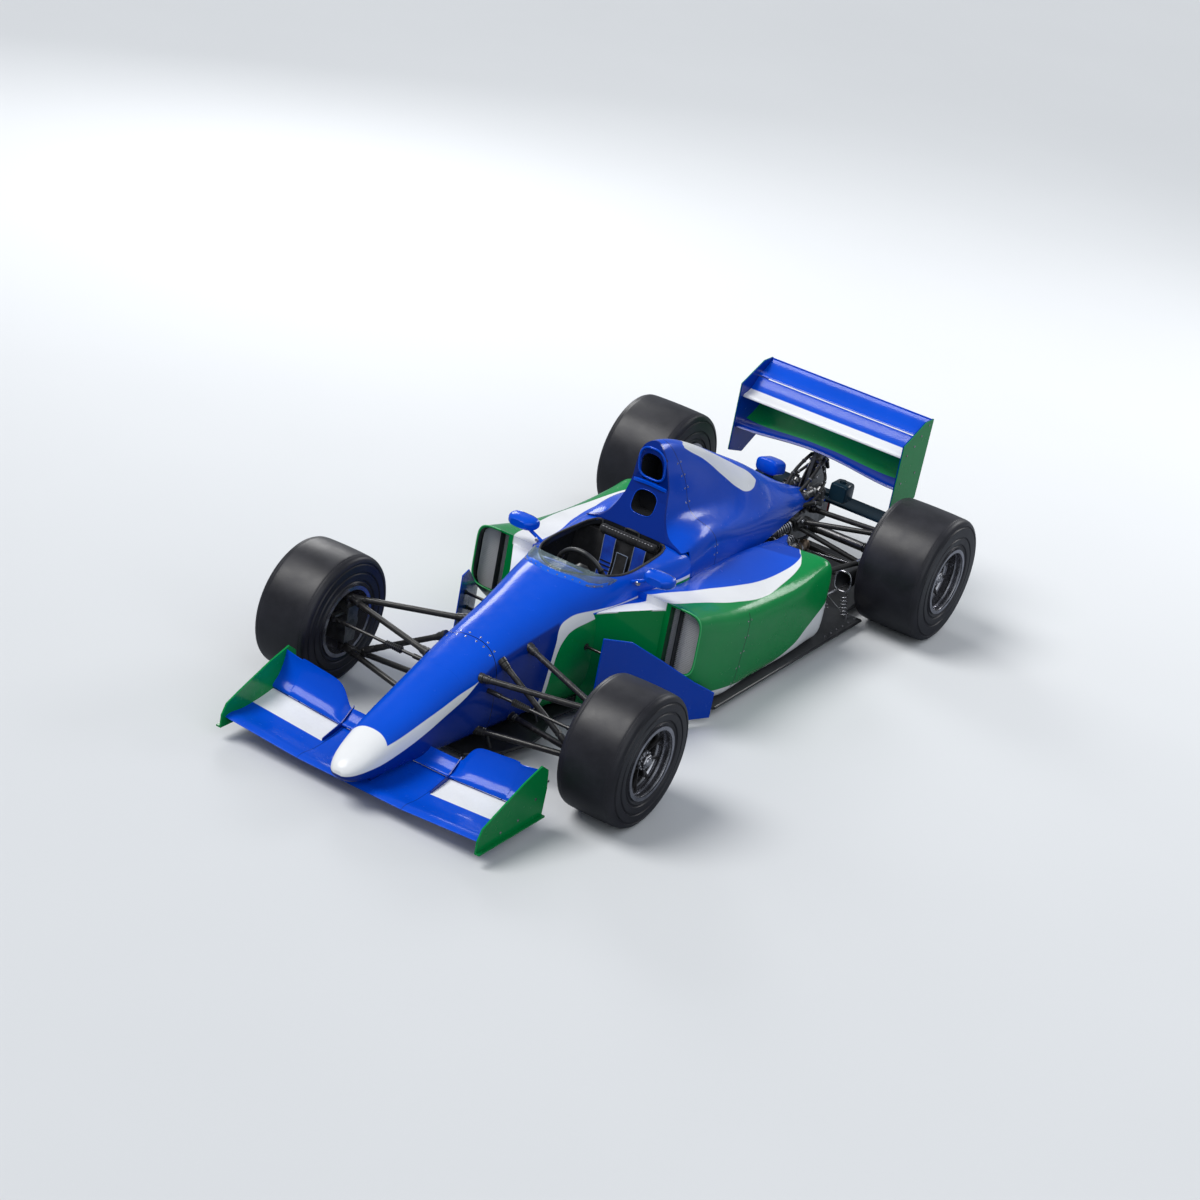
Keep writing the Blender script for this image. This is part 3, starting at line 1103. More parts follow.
def shoulder_belts():
    """Two shoulder belts, their bound edges, lap belts and a turn buckle with its tongues."""
    webbing, edges, steelwork = Part(), Part(), Part()
    grid = belt_grid(0.086, 0.060, 0.066, 0.0150, 0.0026)
    webbing.sheet(grid, close_columns=True, caps=True)
    for column in (0, 8):
        edges.pipe(grid[:, column], 0.0019, 8)
    row = int(0.24 * (len(grid) - 1))
    middle = grid[row, 4]
    along = grid[row + 1, 4] - grid[row - 1, 4]
    along /= np.linalg.norm(along)
    wide = np.array([0.037, 0.0, 0.0])
    deep = 0.0035 * np.cross(along, [1.0, 0.0, 0.0])
    for shift in (-0.020, 0.0, 0.020):
        corner = middle + along * shift
        bar = [corner - wide - deep, corner - wide + deep, corner + wide + deep, corner + wide - deep]
        steelwork.prism(np.array(bar) - along * 0.003, along * 0.006)
    for sign in (-1.0, 1.0):
        foot = middle + np.array([sign * 0.0355, 0.0, 0.0])
        steelwork.pipe([foot - along * 0.024, foot, foot + along * 0.024], 0.0034, 10)
    webbing.mirror()
    edges.mirror()
    steelwork.mirror()
    centre_pad = belt_grid(0.0, 0.0, 0.062, 0.0150, 0.0080, slice(4, 40))
    pad = Part()
    pad.sheet(centre_pad, close_columns=True, caps=True)
    pad.build("harness_pad", pad_cloth, "chassis", "belt_webbing", 60.0)
    edges.pipe(np.concatenate([centre_pad[::-1, 0], centre_pad[0, 1:8], centre_pad[:, 8]]), 0.0022, 8)
    lap = smooth_path([(0.030, -0.300, 0.2335), (0.085, -0.285, 0.2420), (0.140, -0.262, 0.2480),
        (0.185, -0.235, 0.2500)], 8)
    for sign in (-1.0, 1.0):
        side = lap * [sign, 1.0, 1.0]
        corners = ((-0.022, -0.004), (-0.022, -0.001), (0.022, 0.006), (0.022, 0.003))
        strap = np.stack([side + [0.0, ahead, rise] for ahead, rise in corners], 1)
        webbing.sheet(strap, close_columns=True, caps=True)
    centre, axis = (0.0, -0.302, 0.2270), (0.0, 0.12, 1.0)
    steelwork.lathe(centre, axis, [(0.0, 0.036), (0.010, 0.036), (0.014, 0.032), (0.014, 0.020)], 40)
    steelwork.prism([(-0.026, -0.306, 0.2405), (0.026, -0.306, 0.2405), (0.026, -0.298, 0.2415),
        (-0.026, -0.298, 0.2415)], (0.0, 0.001, 0.007))
    piece = webbing.build("belt_straps", belt_cloth, "chassis", "belt_webbing", 60.0)
    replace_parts(piece, "belts")
    edges.build("belt_edges", edge_cloth, "chassis", "belt_webbing", 60.0)
    steelwork.build("belt_fittings", satin, "chassis", "satin_black", 30.0)


shoulder_belts()


def steering_wheel_detail():
    """Moulded grips, a centre pad, four buttons and two paddles on the steering wheel."""
    detail = Part()
    centre = np.array([0.0, -0.390, 0.599])
    tilt = math.radians(16.0)
    axis = np.array([0.0, math.cos(tilt), math.sin(tilt)])
    up = np.array([0.0, -math.sin(tilt), math.cos(tilt)])
    side = np.array([1.0, 0.0, 0.0])
    for start in (-0.55, math.pi - 0.55):
        angle = np.linspace(start, start + 1.1, 25)
        path = centre + 0.128 * (np.outer(np.cos(angle), side) + np.outer(np.sin(angle), up))
        ripple = 0.0142 + 0.0012 * np.cos(np.linspace(0.0, 12 * np.pi, 25))
        detail.pipe(path, ripple, 20)
    detail.lathe(centre, axis, [(0.006, 0.048), (0.017, 0.048), (0.022, 0.043), (0.022, 0.020)], 6)
    for across, rise in ((-0.028, 0.012), (0.028, 0.012), (-0.022, -0.016), (0.022, -0.016)):
        place = centre + across * side + rise * up
        detail.lathe(place, axis, [(0.018, 0.0065), (0.028, 0.0065), (0.030, 0.0045)], 16)
    return detail.build("steering_wheel_detail", grip_rubber, "steering_wheel", "wheel_grip", 35.0)


steering_wheel_detail()


def dash_cluster():
    """Instrument pod on the dash with three dials and a row of switches."""
    cluster = Part()
    cluster.prism([(-0.085, -0.552, 0.575), (0.085, -0.552, 0.575), (0.085, -0.552, 0.635),
        (0.06, -0.552, 0.652), (-0.06, -0.552, 0.652), (-0.085, -0.552, 0.635)], (0.0, 0.028, 0.0))
    for x, size in ((-0.052, 0.019), (0.0, 0.026), (0.052, 0.019)):
        cluster.lathe((x, -0.524, 0.612), (0.0, 1.0, 0.0), [(-0.002, size), (0.006, size),
            (0.006, size * 0.86), (0.001, size * 0.80)], 32)
    for x in np.linspace(-0.07, 0.07, 8):
        cluster.lathe((x, -0.524, 0.583), (0.0, 1.0, 0.3), [(-0.002, 0.0035), (0.010, 0.0035),
            (0.012, 0.0025)], 10)
    return cluster.build("dash_cluster", satin, "chassis", "satin_black", 30.0)


dash_cluster()


# Windscreen

SCREEN_LEVELS = ((0.5922, -0.7569, 0.23358), (0.6681, -0.7104, 0.229), (0.74055, -0.6100, 0.19923),
    (0.7785, -0.5562, 0.1832))
gold = metal_finish("gold_rivets", (0.62, 0.45, 0.16), 0.2, 0.4)
band_paint = plain_paint("screen_band", (0.012, 0.12, 0.72))


def screen_point(angle, z, grow):
    """Point of the screen's outer face: a rounded loop of power 2.3 whose front and width change
    with the height."""
    heights = [level[0] for level in SCREEN_LEVELS]
    front = np.interp(z, heights, [level[1] for level in SCREEN_LEVELS])
    half = np.interp(z, heights, [level[2] for level in SCREEN_LEVELS]) + grow
    rear = -0.41065
    depth = rear - front + grow
    across, ahead_of = math.cos(angle), math.sin(angle)
    return (half * math.copysign(abs(across) ** (2 / 2.3), across), rear - depth * abs(ahead_of) ** (2 / 2.3),
        z)


def screen_base(grow, rise):
    """Line where the screen meets the tub, lifted up the screen by rise."""
    rows = []
    for angle in np.linspace(0.30, math.pi - 0.30, 61):
        for z in np.linspace(0.76, 0.60, 65):
            x, y, _ = screen_point(angle, z, grow)
            if z <= height_on(tub_surface, x, y, 0.0):
                break
        rows.append(screen_point(angle, z + rise, grow))
    rows = np.array(rows)
    smooth = rows.copy()
    smooth[1:-1] = (rows[:-2] + 2 * rows[1:-1] + rows[2:]) / 4
    return smooth


def screen_trim():
    """Painted band along the foot of the screen, a beading on its upper edge, and rivets."""
    low, high = screen_base(0.0012, -0.004), screen_base(0.0012, 0.017)
    inner_low, inner_high = screen_base(-0.0002, -0.004), screen_base(-0.0002, 0.017)
    band = Part()
    band.sheet(np.stack([low, high, inner_high, inner_low], 1), close_columns=True, caps=True)
    band.build("screen_band", band_paint, "chassis", "blue_paint", 60.0)
    rivets = Part()
    line, out = screen_base(0.0012, 0.007), screen_base(0.0112, 0.007)
    for index in range(3, 60, 4):
        rivets.lathe(line[index], out[index] - line[index], [(-0.0005, 0.0034), (0.0010, 0.0034),
            (0.0022, 0.0022), (0.0026, 0.0008)], 12)
    rivets.build("screen_rivets", gold, "chassis", "cast_metal", 40.0)


screen_trim()


# Mirrors

mirror_glass = metal_finish("mirror_glass", (0.75, 0.78, 0.82), 0.03, 0.08, dark=0.9)


def mirror_detail():
    """Silvered glass in the back of each housing, a bright beading round it,
    and a clamp at the foot of the stalk."""
    glass, beading = Part(), Part()
    across, rise = squared_circle(np.linspace(0.0, 2 * np.pi, 48, endpoint=False), 2 / 3)
    glass_loops = ((0.90, -0.3140), (0.90, -0.3122), (0.86, -0.3118), (0.40, -0.3116))
    beading_loops = ((0.90, -0.3142), (0.90, -0.3108), (0.95, -0.3100), (1.00, -0.3112), (1.01, -0.3150),
        (0.99, -0.3165))
    for part, loops in ((glass, glass_loops), (beading, beading_loops)):
        part.sheet(np.stack([
            np.stack([0.388 + 0.076 * size * across, np.full(48, y), 0.706 + 0.032 * size * rise], 1)
            for size, y in loops]), close_columns=True, caps=True)
    foot = np.array([0.262, -0.3525, 0.640])
    stalk = np.array([0.388 - 0.156, 0.0, 0.706 - 0.6036])
    stalk /= np.linalg.norm(stalk)
    beading.lathe(foot + stalk * 0.018, stalk, [(0.0, 0.0095), (0.0, 0.0125), (0.004, 0.0140),
        (0.012, 0.0140), (0.016, 0.0125), (0.016, 0.0095)], 24)
    glass.mirror()
    beading.mirror()
    glass.build("mirror_glass", mirror_glass, "chassis", "blue_paint", 40.0)
    beading.build("mirror_beading", steel, "chassis", "blue_paint", 40.0)


mirror_detail()

# Body fittings

def hit(surface, start, direction):
    """Point and normal where a ray first meets a surface, or None."""
    found = surface.ray_cast(Vector(start), Vector(direction))
    return (np.array(found[0]), np.array(found[1])) if found[0] else None


def side_point(surface, y, z):
    """Outermost point of a surface on the left, at a place along the car and a height."""
    return hit(surface, (1.5, y, z), (-1.0, 0.0, 0.0))


def top_point(surface, x, y):
    """Highest point of a surface over a place."""
    return hit(surface, (x, y, 2.0), (0.0, 0.0, -1.0))


def fasteners():
    """Flush quarter turn fasteners beside the panel lines: a thin disc with a rounded edge and a
    slot ring."""
    spots = []
    for across in (0.03, 0.075, 0.12):
        for shift in (-0.016, 0.016):
            spots.append(top_point(tub_surface, across, BULKHEAD_SEAM - across ** 2 + shift))
    cover = surface_of("engine_cover")
    line_z = [0.605, 0.684, 0.751, 0.784, 0.902, 1.005, 1.097]
    line_y = [0.367, 0.354, 0.317, 0.301, 0.295, 0.246, 0.189]
    for z in (0.60, 0.645, 0.83, 0.90, 0.97, 1.04):
        for shift in (-0.016, 0.016):
            spots.append(side_point(cover, np.interp(z, line_z, line_y) + shift, z))
    pod = surface_of("sidepod_left")
    for z in (0.12, 0.20, 0.28, 0.36, 0.44):
        for shift in (-0.016, 0.016):
            spots.append(side_point(pod, 0.101 + 0.16 * z + shift, z))
    for y in np.linspace(-0.15, 1.0, 10):
        spots.append(side_point(pod, y, 0.085))
    discs = Part()
    for found in spots:
        if found is not None:
            place, out = found
            out = out if out.dot(place - [0.0, place[1], 0.3]) > 0 else -out
            discs.lathe(place, out, [(-0.0015, 0.0052), (0.0004, 0.0052), (0.0009, 0.0045), (0.0009, 0.0026),
                (0.0003, 0.0020)], 14)
    discs.mirror()
    discs.build("fasteners", steel, "chassis", "cast_metal", 40.0)


fasteners()

VANE_TOP = [(0.399, -0.7831, 0.5399), (0.465, -0.6289, 0.4990), (0.5508, -0.4485, 0.3750),
    (0.6366, -0.2593, 0.2396), (0.6927, -0.1488, 0.1719)]


def vane_fittings():
    """Rolled top edge of each turning vane, and two stays that hold it to the tub."""
    edges, stays = Part(), Part()
    path = np.concatenate([np.linspace(start, end, 8, endpoint=False) for start,
        end in zip(np.array(VANE_TOP[:-1]), np.array(VANE_TOP[1:]))] + [np.array(VANE_TOP[-1:])])
    edges.pipe(path, 0.0040, 12)
    for y, z, x in ((-0.66, 0.400, 0.449), (-0.52, 0.250, 0.514)):
        found = side_point(tub_surface, y, z)
        start = found[0] if found else np.array([0.25, y, z])
        run = np.array([x, y, z]) - start
        length = np.linalg.norm(run)
        stays.lathe(start, run, [(-0.004, 0.016), (0.003, 0.016), (0.005, 0.0075), (length - 0.012, 0.0075),
            (length - 0.010, 0.011), (length - 0.001, 0.011)], 20)
    edges.mirror()
    stays.mirror()
    edges.build("vane_edges", paint["mirrors"], "chassis", "blue_paint", 60.0)
    stays.build("vane_stays", satin, "chassis", "satin_black", 40.0)


vane_fittings()


def intake_lips():
    """Rolled lips round the air intake and the hoop opening, and the bar between them."""
    lips, hoop = Part(), Part()
    angle = np.linspace(0.0, 2 * np.pi, 72, endpoint=False)
    face_z = [0.60, 0.69, 0.861, 0.9278, 1.1213, 1.16]
    face_y = [0.036, 0.036, 0.1044, 0.1204, 0.0870, 0.1000]
    for part, half_width, low, high, thick in ((lips, 0.071, 0.9554, 1.1180, 0.0060),
            (hoop, 0.064, 0.7784, 0.8912, 0.0026)):
        power = np.where(np.sin(angle) > 0, 2.6, 3.4)
        across, rise = squared_circle(angle, 2 / power)
        middle, tall = (low + high) / 2, (high - low) / 2
        x, z = (half_width + 0.002) * across, middle + (tall + 0.002) * rise
        path = np.stack([x, np.interp(z, face_z, face_y) + 0.0005, z], 1)
        part.beading(path, thick, [0.0, 1.0, 0.0])
    hoop.build("hoop_lip", paint["bargeboards"], "chassis", "blue_paint", 50.0)
    share = np.linspace(-1.0, 1.0, 25)
    width = 0.094 * share
    rise = 0.922 + 0.006 * (1 - share ** 2)
    depth = 0.0085 * (1 - share ** 6) + 0.0015
    back = np.interp(rise, face_z, face_y)
    rows = [np.stack([width, y, rise + step], 1) for y, step in (
        (back + 0.004, -0.011), (back - depth, -0.007), (back - depth, 0.006), (back + 0.004, 0.011))]
    lips.sheet(np.stack(rows, 1), close_columns=True, caps=True)
    lips.build("intake_lips", paint["mirrors"], "chassis", "blue_paint", 50.0)


intake_lips()


# Wings

# Profile of a small bolt head: height, radius
BOLT_HEAD = [(0.0, 0.0065), (0.0025, 0.0065), (0.0035, 0.005)]


def wing_fittings():
    """Slot brackets and bolts of the front wing, trailing edge strips and end plate bolts of the
    rear wing."""
    brackets, strips, bolts = Part(), Part(), Part()
    for x in (0.42, 0.56):
        brackets.prism([(x - 0.002, -1.735, 0.116), (x - 0.002, -1.665, 0.150), (x - 0.002, -1.640, 0.190),
            (x - 0.002, -1.715, 0.150)], (0.004, 0.0, 0.0))
    for y, z in ((-1.93, 0.105), (-1.80, 0.115), (-1.68, 0.175), (-1.60, 0.235)):
        bolts.lathe((0.7015, y, z), (1.0, 0.0, 0.0), BOLT_HEAD, 14)
    for y, z in ((1.93, 0.640), (2.08, 0.665), (1.93, 0.800), (2.00, 0.835), (2.06, 0.880), (2.13, 0.925)):
        bolts.lathe((0.5015, y, z), (1.0, 0.0, 0.0), BOLT_HEAD, 14)
    for y, z in ((1.89, 0.40), (1.93, 0.50), (1.97, 0.58)):
        bolts.lathe((0.0085, y, z), (1.0, 0.0, 0.0), [(0.0, 0.0070), (0.003, 0.0070), (0.0042, 0.0055)], 14)
    strips.block((-0.4925, 2.1655, 0.9375), (0.4925, 2.1685, 0.9495))
    brackets.mirror()
    bolts.mirror()
    brackets.build("slot_brackets", satin, "chassis", "satin_black", 30.0)
    bolts.build("wing_bolts", steel, "chassis", "cast_metal", 30.0)
    strips.build("trailing_strip", paint["rear_wing_upper_planes"], "chassis", "blue_paint", 30.0)


wing_fittings()


# Behind the engine cover

def coil(start, end, radius, turns):
    """Path of a spring: circles of 24 steps round the line from start to end that move along it evenly."""
    start, end = np.array(start), np.array(end)
    axis = (end - start) / np.linalg.norm(end - start)
    side = np.cross(axis, [0.0, 0.0, 1.0])
    side /= np.linalg.norm(side)
    up = np.cross(axis, side)
    angle = np.linspace(0.0, 2 * np.pi * turns, 24 * turns)
    circles = np.outer(np.cos(angle), side) + np.outer(np.sin(angle), up)
    return start + np.outer(angle / angle[-1], end - start) + radius * circles


def dampers():
    """Spring and damper units beside the gearbox, the rockers that the pushrods turn,
    and the bar that joins them."""
    springs, bodies = Part(), Part()
    for start, end in (((0.155, 1.20, 0.405), (0.150, 1.46, 0.395)), ((0.205, 1.24, 0.310),
            (0.165, 1.47, 0.330))):
        start, end = np.array(start), np.array(end)
        run = end - start
        length = np.linalg.norm(run)
        springs.pipe(coil(start + run * 0.18, start + run * 0.82, 0.030, 7), 0.0042, 8)
        bodies.lathe(start, run, [(-0.012, 0.010), (-0.006, 0.017), (0.012, 0.017), (0.020, 0.026),
            (0.040, 0.034), (0.046, 0.034), (0.048, 0.021), (length * 0.55, 0.021), (length * 0.56, 0.011),
            (length * 0.80, 0.011), (length * 0.81, 0.034), (length * 0.84, 0.034), (length * 0.86, 0.016),
            (length, 0.013), (length + 0.012, 0.006)], 28)
    rocker = ((1.47, 0.365), (1.47, 0.425), (1.53, 0.440), (1.575, 0.385), (1.52, 0.350))
    for x in (0.128, 0.166):
        bodies.prism([(x, y, z) for y, z in rocker], (0.008, 0.0, 0.0))
    bodies.lathe((0.118, 1.515, 0.395), (1.0, 0.0, 0.0), [(0.0, 0.017), (0.062, 0.017), (0.066, 0.012)], 24)
    springs.mirror()
    bodies.mirror()
    springs.build("rear_springs", steel, "chassis", "cast_metal", 50.0)
    bodies.build("rear_dampers", cast_metal, "chassis", "cast_metal", 30.0)


dampers()


def plumbing():
    """Hoses with end fittings, collectors that run into the tail pipes, and pipes to the coolers."""
    hoses, ends, pipes = Part(), Part(), Part()
    routes = [
        ([(0.25, 1.02, 0.40), (0.30, 1.12, 0.42), (0.24, 1.25, 0.36), (0.13, 1.33, 0.34)], 0.011),
        ([(0.26, 1.04, 0.30), (0.34, 1.14, 0.27), (0.29, 1.30, 0.22), (0.115, 1.42, 0.20)], 0.0095),
        ([(0.38, 1.03, 0.22), (0.40, 1.14, 0.16), (0.28, 1.26, 0.14), (0.12, 1.34, 0.15)], 0.0095),
        ([(0.42, 1.03, 0.34), (0.38, 1.13, 0.36), (0.27, 1.16, 0.30), (0.235, 1.10, 0.26)], 0.013),
        ([(0.12, 1.55, 0.25), (0.17, 1.62, 0.28), (0.15, 1.76, 0.27), (0.085, 1.84, 0.24)], 0.008),
        ([(0.48, 1.04, 0.28), (0.47, 1.16, 0.30), (0.52, 1.30, 0.33), (0.60, 1.46, 0.36)], 0.014),
        ([(0.30, 1.05, 0.11), (0.36, 1.18, 0.09), (0.30, 1.34, 0.10), (0.14, 1.50, 0.14)], 0.010)]
    for points, radius in routes:
        path = smooth_path(points, 12)
        hoses.pipe(path, radius, 14)
        for spot, ahead_of in ((path[1], path[4]), (path[-2], path[-5])):
            ends.lathe(spot, ahead_of - spot, [(-0.006, radius * 1.1), (-0.004, radius * 1.42),
                (0.010, radius * 1.42), (0.012, radius * 1.2), (0.026, radius * 1.2), (0.028, radius * 1.02)],
                6)
    for rise, out in ((0.330, 0.300), (0.285, 0.330), (0.230, 0.335), (0.180, 0.300), (0.150, 0.250)):
        header = [(out - 0.02, 0.98, rise + 0.02), (out, 1.04, rise),
                  (0.5 * out + 0.105, 1.13, 0.5 * rise + 0.125), (0.178, 1.20, 0.2403 + 0.14 * (rise - 0.24))]
        pipes.pipe(smooth_path(header, 10), 0.021, 18)
    pipes.lathe((0.172, 1.175, 0.240), (0.0, 1.0, 0.0), [(0.0, 0.046), (0.02, 0.048), (0.10, 0.0375),
        (0.13, 0.0355), (0.134, 0.040), (0.146, 0.040), (0.150, 0.0355)], 32)
    pipes.lathe((0.172, 1.6264, 0.240), (0.0, 1.0, 0.0), [(-0.020, 0.0345), (-0.018, 0.0372), (0.003, 0.0372),
        (0.004, 0.0345), (0.003, 0.0318), (-0.018, 0.0316)], 36, caps=False)
    for part in (hoses, ends, pipes):
        part.mirror()
    hoses.build("hoses", grip_rubber, "chassis", "satin_black", 60.0)
    ends.build("hose_ends", steel, "chassis", "cast_metal", 30.0)
    pipes.build("exhaust_collectors", exhaust_steel, "chassis", "exhaust_steel", 60.0)


plumbing()


def gearbox_detail():
    """Ribs, bolted covers and studs on the sides of the gearbox case."""
    detail = Part()
    for y, half in ((0.76, 0.112), (1.10, 0.109), (1.28, 0.108), (1.40, 0.107), (1.56, 0.1065)):
        detail.block((half - 0.004, y - 0.005, 0.13), (half + 0.009, y + 0.005, 0.40))
    for y, z, stud_x, cover in (
            (1.20, 0.30, 0.112, [(0.0, 0.045), (0.022, 0.045), (0.026, 0.040), (0.026, 0.027)]),
            (1.34, 0.22, 0.112, [(0.0, 0.036), (0.022, 0.036), (0.026, 0.031), (0.026, 0.0216)]),
            (1.67, 0.337, 0.1, [(-0.01, 0.052), (0.010, 0.052), (0.014, 0.046), (0.014, 0.026)])):
        detail.lathe((0.092, y, z), (1.0, 0.0, 0.0), cover, 36)
        reach = cover[0][1] + 0.004
        for index in range(8):
            turn = index * math.pi / 4 + 0.2
            stud = (stud_x, y + reach * math.cos(turn), z + reach * math.sin(turn))
            detail.lathe(stud, (1.0, 0.0, 0.0), [(-0.012, 0.006), (0.006, 0.006), (0.008, 0.004)], 10)
    detail.mirror()
    detail.build("gearbox_detail", cast_metal, "chassis", "cast_metal", 30.0)


gearbox_detail()


def shaft_boots():
    """Ribbed boots and cups on the drive shafts."""
    for side, sign in SIDES:
        boots = Part()
        place = np.arange(13)
        for start, direction in ((0.150, 1.0), (0.560, -1.0)):
            ribs = np.stack([0.006 * place, np.where(place % 2 == 0, 0.034, 0.041) - 0.0012 * place], 1)
            profile = np.concatenate([[(-0.024, 0.030), (-0.022, 0.040), (-0.002, 0.040)], ribs,
                [(0.078, 0.0185)]])
            boots.lathe((sign * start, *REAR_WHEEL[1:]), (sign * direction, 0.0, 0.0), profile, 30)
        boots.build(f"shaft_boots_{side}", grip_rubber, f"wheel_rear_{side}", "satin_black", 30.0)


shaft_boots()


def rear_ducts():
    """Brake cooling scoops inside the rear wheels: rounded mouths that narrow on their way to the disc."""
    ducts = Part()
    share = np.linspace(0.0, 1.0, 15)
    angle = np.linspace(0.0, 2 * np.pi, 32, endpoint=False)
    centre = np.stack([0.545 + 0.085 * share ** 1.6, 1.385 + 0.195 * share, 0.245 + 0.075 * share], 1)
    half_x, half_z = 0.046 - 0.012 * share, 0.055 - 0.018 * share
    across, rise = squared_circle(angle, 0.7)

    def skin(shrink):
        x = centre[:, :1] + (half_x[:, None] - shrink) * across
        z = centre[:, 2:] + (half_z[:, None] - shrink) * rise
        return np.stack([x, np.broadcast_to(centre[:, 1:2], x.shape), z], -1)

    ducts.sheet(np.concatenate([skin(0.0), skin(0.003)[::-1]]), close_rows=True, close_columns=True)
    mouth = skin(0.0)[0]
    lips = Part()
    lips.pipe(np.concatenate([mouth, mouth[:2]]), 0.0055, 10)
    for x, y in ((0.600, 1.400), (0.470, 1.415), (0.330, 1.420)):
        lips.pipe([(0.112, y + 0.04, 0.300), (x, y, 0.058)], 0.0045, 10)
        lips.lathe((x, y, 0.052), (0.0, 0.0, 1.0), [(0.0, 0.014), (0.006, 0.014), (0.008, 0.009),
            (0.022, 0.009), (0.024, 0.006)], 12)
    turns = coil((0.590, 1.385, 0.065), (0.570, 1.385, 0.175), 0.017, 6)
    lips.pipe(turns, 0.0036, 8)
    ducts.mirror()
    lips.mirror()
    ducts.build("rear_ducts", carbon, "chassis", "carbon", 50.0)
    lips.build("duct_lips", steel, "chassis", "cast_metal", 50.0)


rear_ducts()


def tail_fittings():
    """Fairing beside the tail, the collector tank beside the wing pylon,
    the beam behind it and the lamp's bezel."""
    fairings, tank, bezel = Part(), Part(), Part()
    share = np.linspace(0.0, 1.0, 17)
    angle = np.linspace(0.0, 2 * np.pi, 32, endpoint=False)
    across, rise = squared_circle(angle, 0.6)
    swell = np.clip(4 * share * (1 - share) * 3.0, 0.0, 1.0) ** 0.5
    middle = np.stack([np.full(17, -0.165), 1.675 + 0.13 * share, 0.555 - 0.03 * share], 1)
    half_x, half_z = 0.050 + 0.014 * swell, 0.030 + 0.014 * swell
    fairings.sheet(np.stack([
        middle[:, :1] + half_x[:, None] * across, np.broadcast_to(middle[:, 1:2], (17, 32)),
        middle[:, 2:] + half_z[:, None] * rise], -1), close_columns=True, caps=True)
    fairings.build("tail_fairing", paint["mirrors"], "chassis", "blue_paint", 50.0)
    tank.block((-0.185, 1.715, 0.455), (-0.145, 1.755, 0.525))
    tank.block((-0.185, 1.715, 0.440), (-0.050, 1.755, 0.460))
    depth = np.array([0.0, 0.006, 0.012, 0.088, 0.094, 0.100])
    size = np.array([0.86, 0.96, 1.0, 1.0, 0.96, 0.86])
    across, rise = squared_circle(angle, 0.34)
    tank.sheet(np.stack([
        0.163 + 0.052 * size[:, None] * across, np.broadcast_to(1.925 + depth[:, None], (6, 32)),
        0.452 + 0.052 * size[:, None] * rise], -1), close_columns=True, caps=True)
    tank.lathe((0.163, 1.975, 0.502), (0.0, 0.0, 1.0), [(0.0, 0.020), (0.010, 0.020), (0.014, 0.016)], 24)
    tank.block((0.055, 1.950, 0.405), (0.160, 1.962, 0.425))
    tank.block((0.045, 1.945, 0.315), (0.057, 1.967, 0.425))
    beam = ((2.045, 0.330), (2.050, 0.342), (2.070, 0.350), (2.110, 0.346),
            (2.150, 0.362), (2.150, 0.359), (2.110, 0.336), (2.070, 0.326))
    tank.sheet([[(x, y, z) for y, z in beam] for x in (-0.40, -0.2, 0.2, 0.40)], close_columns=True,
        caps=True)
    tank.build("tail_tank", plain_paint("teal_paint", (0.012, 0.035, 0.055)), "chassis", "satin_black", 40.0)
    for x0, x1, z0, z1 in (
            (-0.043, 0.043, 0.222, 0.229), (-0.043, 0.043, 0.305, 0.312),
            (-0.043, -0.0365, 0.2285, 0.3055), (0.0365, 0.043, 0.2285, 0.3055)):
        bezel.block((x0, 2.1310, z0), (x1, 2.1385, z1))
    bezel.build("lamp_bezel", satin, "chassis", "satin_black", 30.0)


tail_fittings()


def floor_edges():
    """Rounded metal edging along the floor's sides, and the row of bolts inside it."""
    edging, bolts = Part(), Part()
    edging.pipe([(0.664, -0.055, 0.047), (0.664, 0.4, 0.047), (0.664, 0.9, 0.047), (0.664, 1.447, 0.047)],
        0.0085, 14)
    for y in np.linspace(1.10, 1.42, 6):
        bolts.lathe((0.640, y, 0.0535), (0.0, 0.0, 1.0), BOLT_HEAD, 12)
    edging.mirror()
    bolts.mirror()
    edging.build("floor_edging", carbon, "chassis", "carbon", 60.0)
    bolts.build("floor_bolts", steel, "chassis", "cast_metal", 30.0)


floor_edges()


